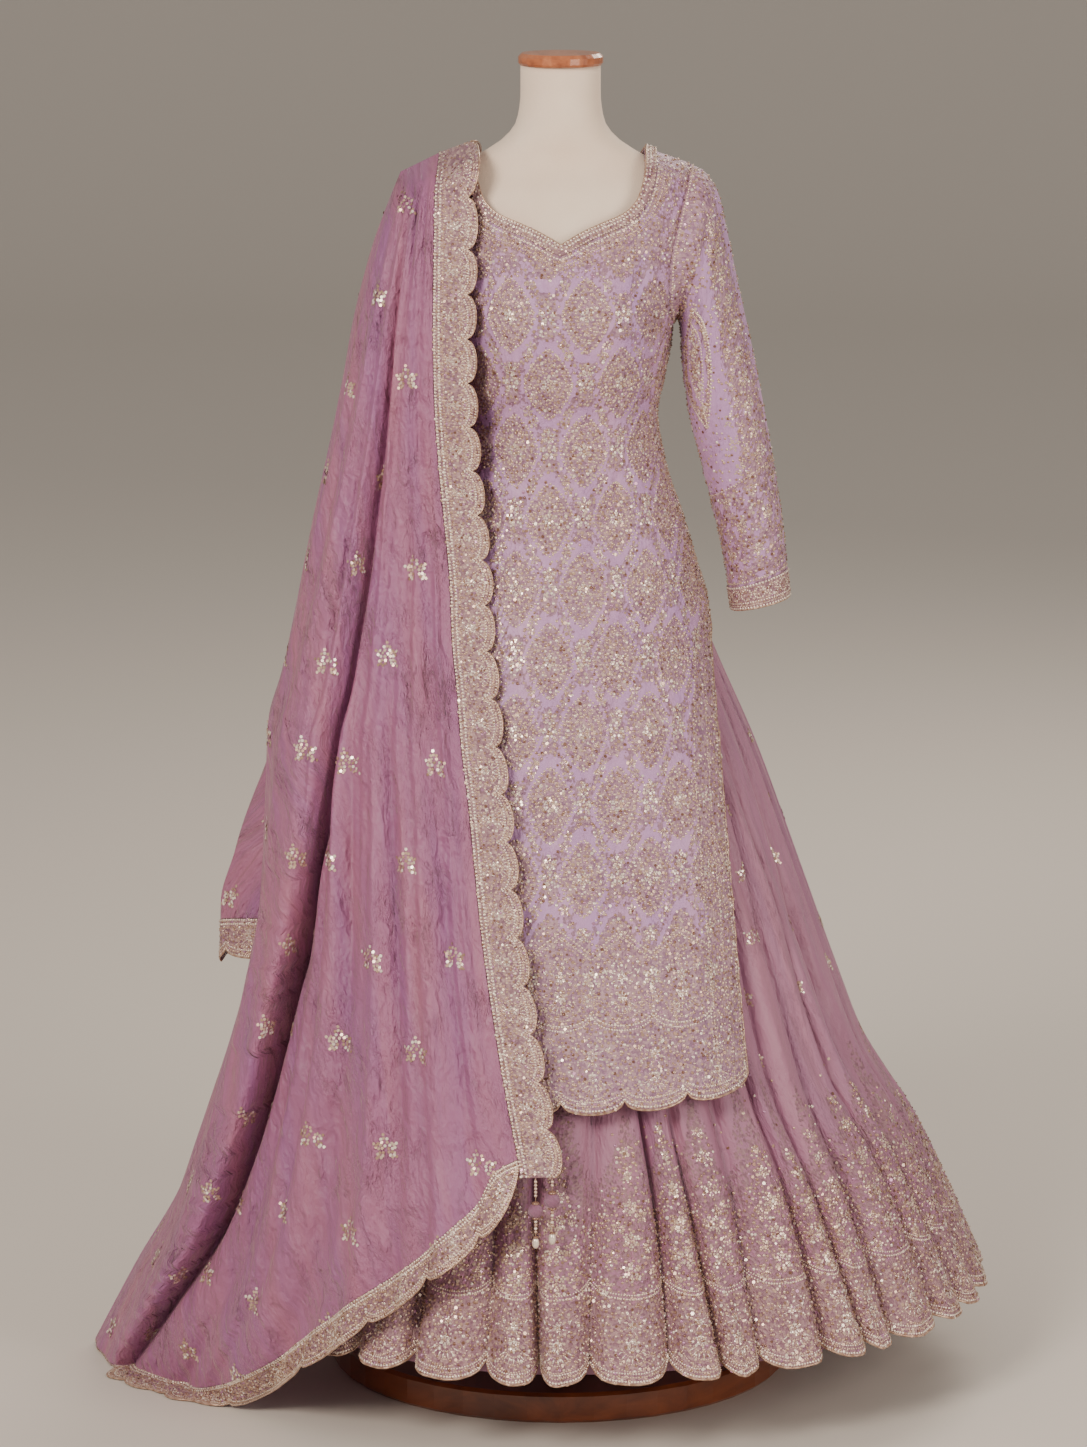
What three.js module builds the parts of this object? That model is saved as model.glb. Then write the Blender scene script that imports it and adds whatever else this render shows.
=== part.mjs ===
// An anarkali suit on a limbless dress form: long kurta with side slits, pleated skirt, beaded shawl.
// Millimetres, +Z up, the front of the garment toward -Y. The origin is the centre of the plinth's underside.
import * as THREE from "three";

const CLOTH = 2; // wall of the kurta, the sleeves and the skirt
const SHAWL = 1.6; // wall of the shawl and its border
const BAND = 1.4; // wall of the bands that lie on another piece
const GAP = 0.3; // left between two pieces where they meet
const SEAM = 0.7; // the same along the shawl's border, where the edges curve
const ROUND = 2.2; // exponent of the body sections, 2 being an ellipse

const PLINTH = { radius: 278, height: 37, edge: 4 };
const POLE = { radius: 14, top: 800, flangeRadius: 55, flangeHeight: 10 };
const CAP = { radius: 50, bottom: 1573, height: 14 };
// half: share of the panels' half-width where neck and shoulder meet, crest: how much prouder the band lies there
const NECK = { half: 0.655, band: 12, lift: 0.7, crest: 1.5 };
const ARMHOLE = { bottom: 1268, top: 1456 };
const SLIT_TOP = 934;
const HEM = { middle: 403, corner: 417, scallops: 6, scallopDepth: 13 };
const SKIRT = { top: 1125, valleyHem: 122, tipHem: 104, topDepth: 2, hemDepth: 27 };
const WAISTBAND = { top: 1160, inset: 0.6 };
const CUFF = { height: 30 };
const BORDER = { width: 50, scallopPitch: 52, scallopDepth: 12, foot: 342 };
const FLOOR = 2; // height of the shawl's middle surface where it lies on the floor

const { clamp, lerp, smoothstep, degToRad } = THREE.MathUtils;

// A smooth function through the values that never overshoots them.
function smooth(keys, values) {
  const steps = keys.slice(1).map((key, i) => (values[i + 1] - values[i]) / (key - keys[i]));
  const slopes = keys.map((_, i) => {
    const below = steps[i - 1] ?? steps[i];
    const above = steps[i] ?? steps[i - 1];
    return below * above > 0 ? (2 * below * above) / (below + above) : 0;
  });
  return (at) => {
    const key = clamp(at, keys[0], keys.at(-1));
    const i = Math.max(0, keys.findLastIndex((k, n) => k <= key && n < keys.length - 1));
    const span = keys[i + 1] - keys[i];
    const t = (key - keys[i]) / span;
    return (
      values[i] * (1 + 2 * t) * (1 - t) ** 2 +
      slopes[i] * span * t * (1 - t) ** 2 +
      values[i + 1] * t * t * (3 - 2 * t) +
      slopes[i + 1] * span * t * t * (t - 1)
    );
  };
}

// Named smooth functions of the first number of each row.
function columns(names, rows) {
  const keys = rows.map((row) => row[0]);
  return Object.fromEntries(
    names.map((name, k) => [name, smooth(keys, rows.map((row) => row[k + 1]))]),
  );
}

const FORM = columns(["half", "front", "back"], [
  [800, 122, 94, 102],
  [950, 120, 94, 102],
  [1040, 112, 92, 92],
  [1110, 104, 88, 84],
  [1125, 105, 87.5, 83.5],
  [1134, 107, 87, 83],
  [1160, 107, 87, 83],
  [1200, 112, 100, 84],
  [1255, 123, 117, 90],
  [1320, 129, 106, 94],
  [1380, 142, 89, 88],
  [1430, 146, 66, 72],
  [1450, 132, 50, 56],
  [1465, 103, 43, 47],
  [1477, 82, 44, 46],
  [1491, 63, 45, 46],
  [1510, 51, 44, 44],
  [1540, 47, 43, 43],
  [1573, 47, 43, 43],
]);

// half: the surface's half-width, edge: the cloth's own, frontEdge and backEdge: depth at the surface's side
const KURTA = columns(["half", "edge", "front", "back", "frontEdge", "backEdge"], [
  [400, 237, 220, 375, 388, 247, 262],
  [469, 228, 213, 345, 360, 214, 228],
  [618, 214, 200, 284, 302, 152, 164],
  [766, 201, 188, 225, 238, 88, 96],
  [850, 190, 181, 192, 202, 32, 34],
  [934, 176, 176, 163, 164, 0, 0],
  [980, 163, 163, 148, 150, 0, 0],
  [1040, 145, 145, 130, 131, 0, 0],
  [1100, 125, 125, 120, 112, 0, 0],
  [1165, 114, 114, 117, 100, 0, 0],
  [1200, 121, 121, 125, 100, 0, 0],
  [1268, 132, 132, 132, 104, 0, 0],
  [1300, 141, 126, 125, 106, 0, 0],
  [1340, 150, 127, 110, 108, 0, 0],
  [1380, 157, 134, 99, 102, 0, 0],
  [1420, 158, 144, 87, 92, 0, 0],
  [1440, 158, 149, 78, 80, 0, 0],
  [1456, 155, 152, 66, 66, 0, 0],
  [1477, 96, 152, 50, 50, 0, 0],
]);

// height of the neck edge by share of the half-width, the front with a point at its middle
const FRONT_NECK = columns(["height"], [
  [0, 1372], [0.18, 1386], [0.34, 1396], [0.52, 1407], [0.61, 1421], [0.645, 1445], [NECK.half, 1475.5],
]);
const BACK_NECK = columns(["height"], [
  [0, 1440], [0.3, 1443], [0.5, 1450], [0.61, 1460], [NECK.half, 1475.5],
]);

// rings of a sleeve below its armhole: x and z of the outer point, of the inner one, half-depth
const SLEEVE_RINGS = [
  [168, 1448, 137, 1277, 61],
  [184, 1424, 142, 1269, 57],
  [196, 1375, 144, 1240, 53],
  [210, 1310, 147, 1200, 49],
  [227, 1235, 156, 1150, 45],
  [243, 1155, 171, 1095, 42],
  [256, 1080, 185, 1040, 39],
  [266, 1012, 197, 983, 37],
  [272, 943, 206, 927, 36],
];

const SKIRT_OUT = columns(["right", "left", "front", "back"], [
  [104, 522, 402, 452, 505],
  [200, 480, 372, 418, 470],
  [300, 432, 346, 385, 425],
  [404, 368, 318, 348, 372],
  [469, 342, 304, 325, 342],
  [618, 288, 270, 264, 281],
  [766, 234, 226, 205, 218],
  [894, 179, 179, 158, 160],
  [934, 165, 165, 146, 147],
  [1040, 136, 136, 119, 118],
  [1125, 109, 109, 100, 95],
]);
// middles of the front pleats in degrees, viewer's left to right, unevenly spaced
const FRONT_PLEATS = [
  -82, -70, -57.5, -44.5, -31.5, -19.5, -8.8, 0.5, 9.8, 17.8, 25, 32.5, 41, 47.5, 55, 64.5, 74, 83.5,
];
const BACK_PLEATS = [97, 107, 118, 127, 138, 149, 159, 170, 181, 190, 201, 212, 222, 233, 243, 254, 264];
// share of a pleat's pitch, depth there as a share of the whole
const PLEAT = [[0, 1], [0.16, 0.3], [0.5, 0], [0.84, 0.3]];

// the shawl's falls: x of the beaded line and of the outline, depth in front of or behind the body, exponent
const FRONT_FALL = columns(["inner", "outer", "depth", "round"], [
  [0, -18, -580, 470, 1.15],
  [100, -22, -528, 470, 1.45],
  [200, -30, -470, 468, 1.6],
  [300, -40, -432, 440, 1.7],
  [361, -50, -411, 410, 1.8],
  [421, -62, -391, 392, 1.9],
  [481, -73, -373, 370, 1.95],
  [600, -92, -352, 316, 2.05],
  [744, -108, -346, 252, 2.2],
  [803, -116, -345, 224, 2.2],
  [860, -121, -330, 194, 2.2],
  [915, -127, -318, 168, 2.2],
  [982, -130, -305, 146, 2.2],
  [1056, -137, -290, 131, 2.3],
  [1117, -143, -276, 124, 2.4],
  [1203, -148, -258, 122, 2.4],
  [1278, -149, -244, 117, 2.4],
  [1362, -148, -222, 104, 2.3],
  [1425, -147, -204, 80, 2.2],
  [1450, -145, -196, 58, 2],
  [1470, -143, -188, 0, 2],
]);
const BACK_FALL = columns(["inner", "outer", "depth", "round"], [
  [340, -60, -415, 425, 1.9],
  [506, -78, -409, 362, 2],
  [554, -84, -408, 342, 2],
  [618, -92, -390, 316, 2.1],
  [729, -106, -364, 266, 2.2],
  [803, -116, -346.5, 236, 2.2],
  [860, -121, -330, 210, 2.2],
  [915, -127, -318, 184, 2.2],
  [982, -130, -305, 162, 2.2],
  [1056, -137, -290, 142, 2.3],
  [1117, -143, -276, 124, 2.4],
  [1203, -148, -258, 112, 2.4],
  [1278, -149, -244, 114, 2.4],
  [1362, -148, -222, 110, 2.3],
  [1425, -147, -204, 86, 2.2],
  [1450, -145, -196, 60, 2],
  [1470, -143, -188, 0, 2],
]);
const FALL_TOP = 1470;
const OUTLINE_DROOP = 22; // how much lower the shawl's outline starts than its beaded line
const EDGE_RISE = 18; // how much higher the border's scalloped edge starts than the beaded line

// heights of the front fall's hem and of its border's edge, by share from the beaded line to the outline;
// what would pass below the floor lies out on it
const FRONT_HEM = columns(["cloth", "edge"], [
  [0, 361, 342],
  [0.07, 349, 301],
  [0.14, 313, 268],
  [0.21, 287, 244],
  [0.3, 250, 208],
  [0.42, 202, 150],
  [0.51, 153, 97],
  [0.57, 114, 55],
  [0.63, 66, 8],
  [0.7, 24, -24],
  [0.77, 5, -44],
  [1, 5, -44],
]);
const BACK_HEM = columns(["cloth"], [[0, 430], [0.5, 470], [1, 552]]);

// the front fall's main furrow: its share across, half-width as a share, depth
const FURROW = columns(["share", "reach", "depth"], [
  [5, 0.9, 0.05, 12],
  [60, 0.89, 0.05, 24],
  [195, 0.86, 0.055, 38],
  [355, 0.83, 0.06, 42],
  [470, 0.82, 0.07, 42],
  [630, 0.75, 0.08, 40],
  [780, 0.64, 0.09, 34],
  [870, 0.594, 0.1, 30],
  [1045, 0.53, 0.11, 20],
  [1213, 0.47, 0.12, 10],
  [1400, 0.45, 0.12, 0],
]);
// lesser folds that fan out: share at the shoulder, share at the hem, reach, depth at the hem
const FOLDS = [
  [0.2, 0.24, 0.05, 12],
  [0.3, 0.46, 0.05, 15],
  [0.4, 0.66, 0.04, 14],
];

const TASSELS = {
  tassel_long: { x: -10, ball: 315, radius: 9, bead: 4.2, tip: 262 },
  tassel_short: { x: -29, ball: 303, radius: 8.5, bead: 3.8, tip: 257 },
};

// A closed surface facing out, whichever way its triangles were listed.
function closed(positions, triangles) {
  const corner = (i) => new THREE.Vector3().fromArray(positions, 3 * i);
  let volume = 0;
  for (let t = 0; t < triangles.length; t += 3) {
    const [a, b, c] = [corner(triangles[t]), corner(triangles[t + 1]), corner(triangles[t + 2])];
    volume += a.dot(b.cross(c));
  }
  const geometry = new THREE.BufferGeometry();
  geometry.setAttribute("position", new THREE.Float32BufferAttribute(positions, 3));
  geometry.setIndex(volume < 0 ? triangles.reverse() : triangles);
  return geometry;
}

// Unit normals of rows of points by differences along and across; a ring's columns run on round it.
function gridNormals(rows, ring) {
  const last = rows[0].length - 1;
  return rows.map((row, j) =>
    row.map((_, i) => {
      const right = ring ? (i + 1) % (last + 1) : Math.min(i + 1, last);
      const left = ring ? (i + last) % (last + 1) : Math.max(i - 1, 0);
      const across = row[right].clone().sub(row[left]);
      const along = rows[Math.min(j + 1, rows.length - 1)][i].clone().sub(rows[Math.max(j - 1, 0)][i]);
      return across.cross(along).normalize();
    }),
  );
}

// A wall of cloth about a middle surface given as rows of points with their normals.
function wall(rows, normals, thickness, { ring = false, lift = 0 } = {}) {
  const across = rows[0].length;
  const up = rows.length;
  const positions = [];
  for (const side of [0.5, -0.5])
    rows.forEach((row, j) =>
      row.forEach((point, i) => {
        const at = point.clone().addScaledVector(normals[j][i], lift + side * thickness);
        positions.push(at.x, at.y, at.z);
      }),
    );
  const outer = (j, i) => j * across + (i % across);
  const inner = (j, i) => outer(j + up, i);
  const triangles = [];
  const quad = (a, b, c, d) => triangles.push(a, b, c, a, c, d);
  const cells = ring ? across : across - 1;
  const top = up - 1;
  for (let i = 0; i < cells; i++) {
    for (let j = 0; j < top; j++) {
      quad(outer(j, i), outer(j, i + 1), outer(j + 1, i + 1), outer(j + 1, i));
      quad(inner(j, i), inner(j + 1, i), inner(j + 1, i + 1), inner(j, i + 1));
    }
    quad(inner(0, i), inner(0, i + 1), outer(0, i + 1), outer(0, i));
    quad(outer(top, i), outer(top, i + 1), inner(top, i + 1), inner(top, i));
  }
  if (!ring)
    for (let j = 0; j < top; j++) {
      quad(inner(j, 0), outer(j, 0), outer(j + 1, 0), inner(j + 1, 0));
      quad(outer(j, cells), inner(j, cells), inner(j + 1, cells), outer(j + 1, cells));
    }
  return closed(positions, triangles);
}

// A solid through closed rings of points, capped at both ends.
function loft(rings) {
  const across = rings[0].length;
  const middle = (ring) => ring.reduce((sum, p) => sum.add(p), new THREE.Vector3()).divideScalar(across);
  const points = [...rings.flat(), middle(rings[0]), middle(rings.at(-1))];
  const [first, last] = [points.length - 2, points.length - 1];
  const top = (rings.length - 1) * across;
  const triangles = [];
  for (let i = 0; i < across; i++) {
    const next = (i + 1) % across;
    for (let j = 0; j < top; j += across)
      triangles.push(j + i, j + next, j + across + next, j + i, j + across + next, j + across + i);
    triangles.push(first, next, i, last, top + i, top + next);
  }
  return closed(points.flatMap((p) => [p.x, p.y, p.z]), triangles);
}

// A turned solid about a vertical line, from its foot to its head.
function turned(profile, segments, x = 0, y = 0) {
  return loft(
    profile.map(([radius, z]) =>
      Array.from({ length: segments }, (_, i) => {
        const angle = (2 * Math.PI * i) / segments;
        return new THREE.Vector3(x + radius * Math.cos(angle), y + radius * Math.sin(angle), z);
      }),
    ),
  );
}

// Evenly spaced numbers, both ends included.
const spread = (from, to, cells) => Array.from({ length: cells + 1 }, (_, i) => lerp(from, to, i / cells));
const mirrored = (points) => points.map((row) => row.map((p) => new THREE.Vector3(-p.x, p.y, p.z)));
const superCos = (share, round) => (1 - Math.min(1, Math.abs(share)) ** round) ** (1 / round);

function formBody() {
  const heights = [
    800, 950, 1040, 1110, 1125, 1134, 1160, 1200, 1255, 1320, 1380, 1415, 1440, 1457, 1470, 1482, 1496, 1520, 1573,
  ];
  const around = spread(0, 2 * Math.PI, 24).slice(0, -1);
  return loft(
    heights.map((z) =>
      around.map((angle) => {
        const [across, ahead] = [Math.sin(angle), -Math.cos(angle)];
        const fullness = smoothstep(z, 1165, 1230) * (1 - smoothstep(z, 1450, 1500));
        const round = lerp(1, 2 / ROUND, fullness);
        const depth = ahead < 0 ? FORM.front(z) : FORM.back(z);
        return new THREE.Vector3(
          FORM.half(z) * Math.sign(across) * Math.abs(across) ** round,
          depth * Math.sign(ahead) * Math.abs(ahead) ** round,
          z,
        );
      }),
    ),
  );
}

// Shares of the half-width where the panels' columns stand above the waist; at the hem they are even.
const NECK_SHARES = [0, 0.09, 0.18, 0.28, 0.38, 0.48, 0.57, 0.63, NECK.half, 0.74, 0.83, 0.92, 1];

// The kurta's surface: its y at a place, toward the front (side -1) or the back (side 1).
function kurtaSection(z, side) {
  return side < 0
    ? { half: KURTA.half(z), deep: KURTA.front(z), edge: KURTA.frontEdge(z) }
    : { half: KURTA.half(z), deep: KURTA.back(z), edge: KURTA.backEdge(z) };
}
function kurtaY(x, z, side) {
  const { half, deep, edge } = kurtaSection(z, side);
  return side * (edge + (deep - edge) * superCos(x / half, ROUND));
}
// The outward normal there, the gradient of the section's own equation.
function kurtaNormal(x, y, z, side) {
  const level = (px, py, pz) => {
    const { half, deep, edge } = kurtaSection(pz, side);
    const ahead = Math.max(0, side * py - edge) / (deep - edge);
    return (Math.abs(px) / half) ** ROUND + ahead ** ROUND;
  };
  const h = 0.5;
  return new THREE.Vector3(
    level(x + h, y, z) - level(x - h, y, z),
    level(x, y + h, z) - level(x, y - h, z),
    level(x, y, z + h) - level(x, y, z - h),
  ).normalize();
}
const shoulderHeight = (x) => Math.min(ARMHOLE.top + ((155 - Math.abs(x)) * 21) / 59, 1476.5);

function kurtaTop(share, side) {
  const from = Math.abs(share);
  if (from <= NECK.half) return (side < 0 ? FRONT_NECK : BACK_NECK).height(from);
  return from > 0.999 ? ARMHOLE.top : shoulderHeight(152 * from);
}
function hemHeight(share) {
  const within = (((share + 1) / 2) * HEM.scallops) % 1;
  const arc = Math.sqrt(Math.max(0, 1 - (2 * within - 1) ** 2));
  return lerp(HEM.middle, HEM.corner, share * share) + HEM.scallopDepth * (1 - arc);
}

// Heights from hem to armhole, then cosine steps to the neck or the shoulder.
function kurtaPanel(side) {
  const low = [490, 610, 730, 830, 890, SLIT_TOP, 1020, 1100, 1165, 1215, ARMHOLE.bottom];
  const steps = 8;
  const half = NECK_SHARES.length - 1;
  const grid = Array.from({ length: 2 * half + 1 }, (_, i) => {
    const column = i - half;
    const above = Math.sign(column) * NECK_SHARES[Math.abs(column)];
    const heights = [
      hemHeight(column / half),
      ...low,
      ...spread(0, Math.PI, steps)
        .slice(1)
        .map((angle) => lerp(ARMHOLE.bottom, kurtaTop(above, side), (1 - Math.cos(angle)) / 2)),
    ];
    return heights.map((z) => {
      const x = lerp(column / half, above, smoothstep(z, SLIT_TOP, ARMHOLE.bottom)) * KURTA.edge(z);
      return new THREE.Vector3(x, kurtaY(x, z, side), z);
    });
  });
  const rows = grid[0].map((_, j) => grid.map((column) => column[j]));
  const normals = rows.map((row) =>
    row.map((p) => {
      const seam = Math.abs(p.y) < 0.01;
      const normal = kurtaNormal(p.x, p.y, p.z, side);
      if (seam) normal.setY(0).normalize();
      return normal;
    }),
  );
  rows.flat().forEach((p) => {
    if (Math.abs(p.y) < GAP / 2) p.y = (side * GAP) / 2;
  });
  return wall(rows, normals, CLOTH);
}

// A band round the neck that lies on the two body panels, its ends meeting at the shoulders.
function neckBand() {
  const columnsOf = (side) => {
    const half = [1, 0.9985, 0.995, 0.991, 0.985, 0.965, 0.93, 0.87, 0.76, 0.63, 0.5, 0.37, 0.24, 0.12];
    const shares = [...half.map((s) => -s), 0, ...half.toReversed()].map((s) => s * NECK.half);
    const edge = shares.map((share) => {
      const z = kurtaTop(share, side);
      return new THREE.Vector2(share * KURTA.edge(z), z);
    });
    return edge.map((at, i) => {
      const end = i === 0 || i === edge.length - 1;
      const along = edge[Math.min(i + 1, edge.length - 1)].clone().sub(edge[Math.max(i - 1, 0)]);
      const down = end
        ? new THREE.Vector2(Math.sign(at.x), 0)
        : new THREE.Vector2(along.y, -along.x).normalize();
      return [0, 1].map((step) => {
        const x = at.x + down.x * step * NECK.band;
        const ridge = shoulderHeight(x);
        const z = end ? ridge + NECK.crest : Math.min(at.y + down.y * step * NECK.band, ridge - 3);
        const y = end ? 0 : kurtaY(x, z, side) + side * NECK.crest * smoothstep(z, 1445, 1465);
        const normal = kurtaNormal(x, y, z, side);
        if (end) normal.set(Math.sign(x) * 0.336, 0, 0.942);
        return { point: new THREE.Vector3(x, y, z), normal };
      });
    });
  };
  const around = [...columnsOf(-1).slice(0, -1), ...columnsOf(1).reverse().slice(0, -1)];
  const pick = (key) => [0, 1].map((j) => around.map((column) => column[j][key]));
  return wall(pick("point"), pick("normal"), BAND, { ring: true, lift: CLOTH / 2 + NECK.lift + BAND / 2 });
}

// Rows of points down the viewer's right sleeve, the first along the armhole, with their normals.
function sleeveGrid() {
  const around = spread(0, 2 * Math.PI, 16).slice(0, -1);
  const loop = around.map((angle) => {
    const z = lerp(ARMHOLE.bottom, ARMHOLE.top, (1 + Math.cos(angle)) / 2);
    const side = Math.sin(angle) > 0 ? -1 : 1;
    const onSeam = Math.abs(Math.sin(angle)) < 1e-6;
    const x = KURTA.edge(z);
    const y = onSeam ? 0 : kurtaY(x, z, side);
    const normal = kurtaNormal(x, y, z, side);
    if (onSeam) normal.setY(0).normalize();
    return { point: new THREE.Vector3(x, y, z), normal };
  });
  const outOfArmhole = new THREE.Vector3(1, 0, 0.3);
  const armhole = loop.map(({ point, normal }, i) => {
    const along = loop[(i + 1) % loop.length].point.clone().sub(loop.at(i - 1).point);
    const away = along.cross(normal).normalize();
    return point.clone().addScaledVector(away, away.dot(outOfArmhole) < 0 ? -GAP : GAP);
  });
  const rings = SLEEVE_RINGS.map(([outX, outZ, inX, inZ, deep]) =>
    around.map((angle) => {
      const share = (1 + Math.cos(angle)) / 2;
      return new THREE.Vector3(lerp(inX, outX, share), -deep * Math.sin(angle), lerp(inZ, outZ, share));
    }),
  );
  const rows = [armhole, ...rings];
  const normals = gridNormals(rows, true);
  normals[0] = loop.map(({ normal }) => normal);
  return { rows, normals };
}

// The band round a cuff: the sleeve's last rows again, moved out.
function cuffGrid(sleeve) {
  const [above, last] = sleeve.rows.slice(-2);
  const share = CUFF.height / above[0].distanceTo(last[0]);
  const start = last.map((p, i) => p.clone().lerp(above[i], share));
  const rows = [start, last.map((p) => p.clone())];
  return { rows, normals: gridNormals(rows, true) };
}

// The skirt's middle surface: depth is how far inside the pleats' ridges the point lies.
function skirtPoint(angle, z, depth) {
  const [across, ahead] = [Math.sin(angle), -Math.cos(angle)];
  const reach = across > 0 ? SKIRT_OUT.right(z) : SKIRT_OUT.left(z);
  const deep = ahead < 0 ? SKIRT_OUT.front(z) : SKIRT_OUT.back(z);
  const radius = Math.hypot(reach * across, deep * ahead);
  const scale = (radius - depth) / radius;
  return new THREE.Vector3(reach * across * scale, deep * ahead * scale, z);
}
const unevenness = (k) => 0.82 + 0.36 * ((k * 0.618) % 1);

function skirtRows() {
  const heights = [0, 250, 470, 700, SLIT_TOP, SKIRT.top];
  const middles = [...FRONT_PLEATS, ...BACK_PLEATS];
  const seams = { 0: -90, [FRONT_PLEATS.length]: 90, [middles.length]: 270 };
  const valley = (k) => seams[k] ?? (middles[k - 1] + middles[k]) / 2;
  const pleatColumns = middles.flatMap((_, k) =>
    PLEAT.map(([share, depth]) => ({
      angle: degToRad(lerp(valley(k), valley(k + 1), share)),
      depth: depth * (depth === 1 ? 1 : unevenness(k)),
      front: k < FRONT_PLEATS.length,
    })),
  );
  const rows = heights.map((height) =>
    pleatColumns.map(({ angle, depth }) => {
      const z = height || lerp(SKIRT.tipHem, SKIRT.valleyHem, depth);
      const fall = (SKIRT.top - z) / (SKIRT.top - SKIRT.tipHem);
      return skirtPoint(angle, z, depth * lerp(SKIRT.topDepth, SKIRT.hemDepth, fall));
    }),
  );
  return { rows, normals: gridNormals(rows, true), frontColumns: PLEAT.length * FRONT_PLEATS.length };
}

// One half of the skirt, its side edges drawn in by half the gap.
function skirtHalf({ rows, normals }, from, to) {
  const count = rows[0].length;
  const picked = Array.from({ length: to - from + 1 }, (_, i) => (from + i) % count);
  const part = (grid) => grid.map((row) => picked.map((i) => row[i].clone()));
  const halfRows = part(rows);
  const halfNormals = part(normals);
  for (const [end, next] of [[0, 1], [picked.length - 1, picked.length - 2]])
    halfRows.forEach((row, j) => {
      const inward = row[next].clone().sub(row[end]);
      inward.addScaledVector(halfNormals[j][end], -inward.dot(halfNormals[j][end]));
      row[end].addScaledVector(inward.setZ(0).normalize(), GAP);
    });
  return wall(halfRows, halfNormals, CLOTH);
}

function skirtRing(heights, inset, segments) {
  const around = spread(-Math.PI / 2, 1.5 * Math.PI, segments).slice(0, -1);
  const rows = heights.map((z, j) => around.map((angle) => skirtPoint(angle, z, inset[j])));
  return { rows, normals: gridNormals(rows, true) };
}

// A fall's middle surface at a share from the beaded line to the outline; side -1 in front, 1 behind.
function fallPoint(fall, share, z, side) {
  const x = lerp(fall.inner(z), fall.outer(z), share);
  const y = side * fall.depth(z) * superCos(share, fall.round(z));
  return new THREE.Vector3(x, y, z - OUTLINE_DROOP * share * smoothstep(z, 1340, FALL_TOP));
}
function frontFold(share, z) {
  const dip = (middle, reach) => Math.exp(-(((share - middle) / reach) ** 2));
  const fade = smoothstep(share, 0, 0.06) * (1 - smoothstep(share, 0.95, 1));
  const low = 1 - smoothstep(z, 500, 1400);
  const lesser = FOLDS.reduce(
    (sum, [top, hem, reach, depth]) => sum + depth * low * dip(lerp(top, hem, low), reach), 0,
  );
  return fade * (FURROW.depth(z) * dip(FURROW.share(z), FURROW.reach(z)) + lesser);
}
const backFold = (share, z) =>
  9 * (1 - smoothstep(z, 600, 1300)) * smoothstep(share, 0, 0.1) * (1 - smoothstep(share, 0.9, 1)) *
  (1 - Math.cos(share * 10 * Math.PI)) / 2;

// Moves a fall's point in by its fold, square to the fall's plan outline.
function foldedFall(fall, share, z, side, fold) {
  const ahead = fallPoint(fall, Math.min(1, share + 0.01), z, side);
  const behind = fallPoint(fall, Math.max(0, share - 0.01), z, side);
  const inward = new THREE.Vector3(ahead.y - behind.y, behind.x - ahead.x, 0).normalize().multiplyScalar(-side);
  return fallPoint(fall, share, z, side).addScaledVector(inward, -fold(share, z));
}

// A fall of the shawl from the shoulder's crest to its hem, both edges in the seam plane where falls join.
function shawlFall(fall, side, cells, fold, hem, heights, joinedDownTo) {
  const shares = spread(0, Math.PI / 2, cells).map((angle) => Math.sin(angle));
  const rows = heights.map((height, j) =>
    shares.map((share) => {
      const foot = hem(share);
      const z = lerp(FALL_TOP, foot, (FALL_TOP - height) / (FALL_TOP - heights.at(-1)));
      return foldedFall(fall, share, j === 0 ? FALL_TOP : z, side, fold);
    }),
  );
  const normals = gridNormals(rows, false).map((row) => row.map((n) => n.multiplyScalar(-side)));
  rows.forEach((row, j) =>
    row.forEach((point, i) => {
      const crest = j === 0;
      const outline = i === row.length - 1 && point.z > joinedDownTo;
      if (!crest && !outline) return;
      normals[j][i].setY(0);
      if (crest) normals[j][i].set(-0.35, 0, 1);
      if (crest && i === row.length - 1) normals[j][i].set(-1, 0, 0.6);
      normals[j][i].normalize();
      point.y = (side * GAP) / 2;
    }),
  );
  const chainOf = (pick) => ({ points: pick(rows), normals: pick(normals) });
  return {
    wall: wall(rows, normals, SHAWL),
    edge: chainOf((grid) => grid.map((row) => row[0])),
    hem: chainOf((grid) => grid.at(-1)),
  };
}

// A place on a chain of points, the whole part of its number naming the point before it.
function onChain(chain, at) {
  const i = clamp(Math.floor(at), 0, chain.length - 2);
  return chain[i].clone().lerp(chain[i + 1], at - i);
}
const scallopCut = (i) => [1, 0.14, 0, 0.14][i % 4] * BORDER.scallopDepth;

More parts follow.
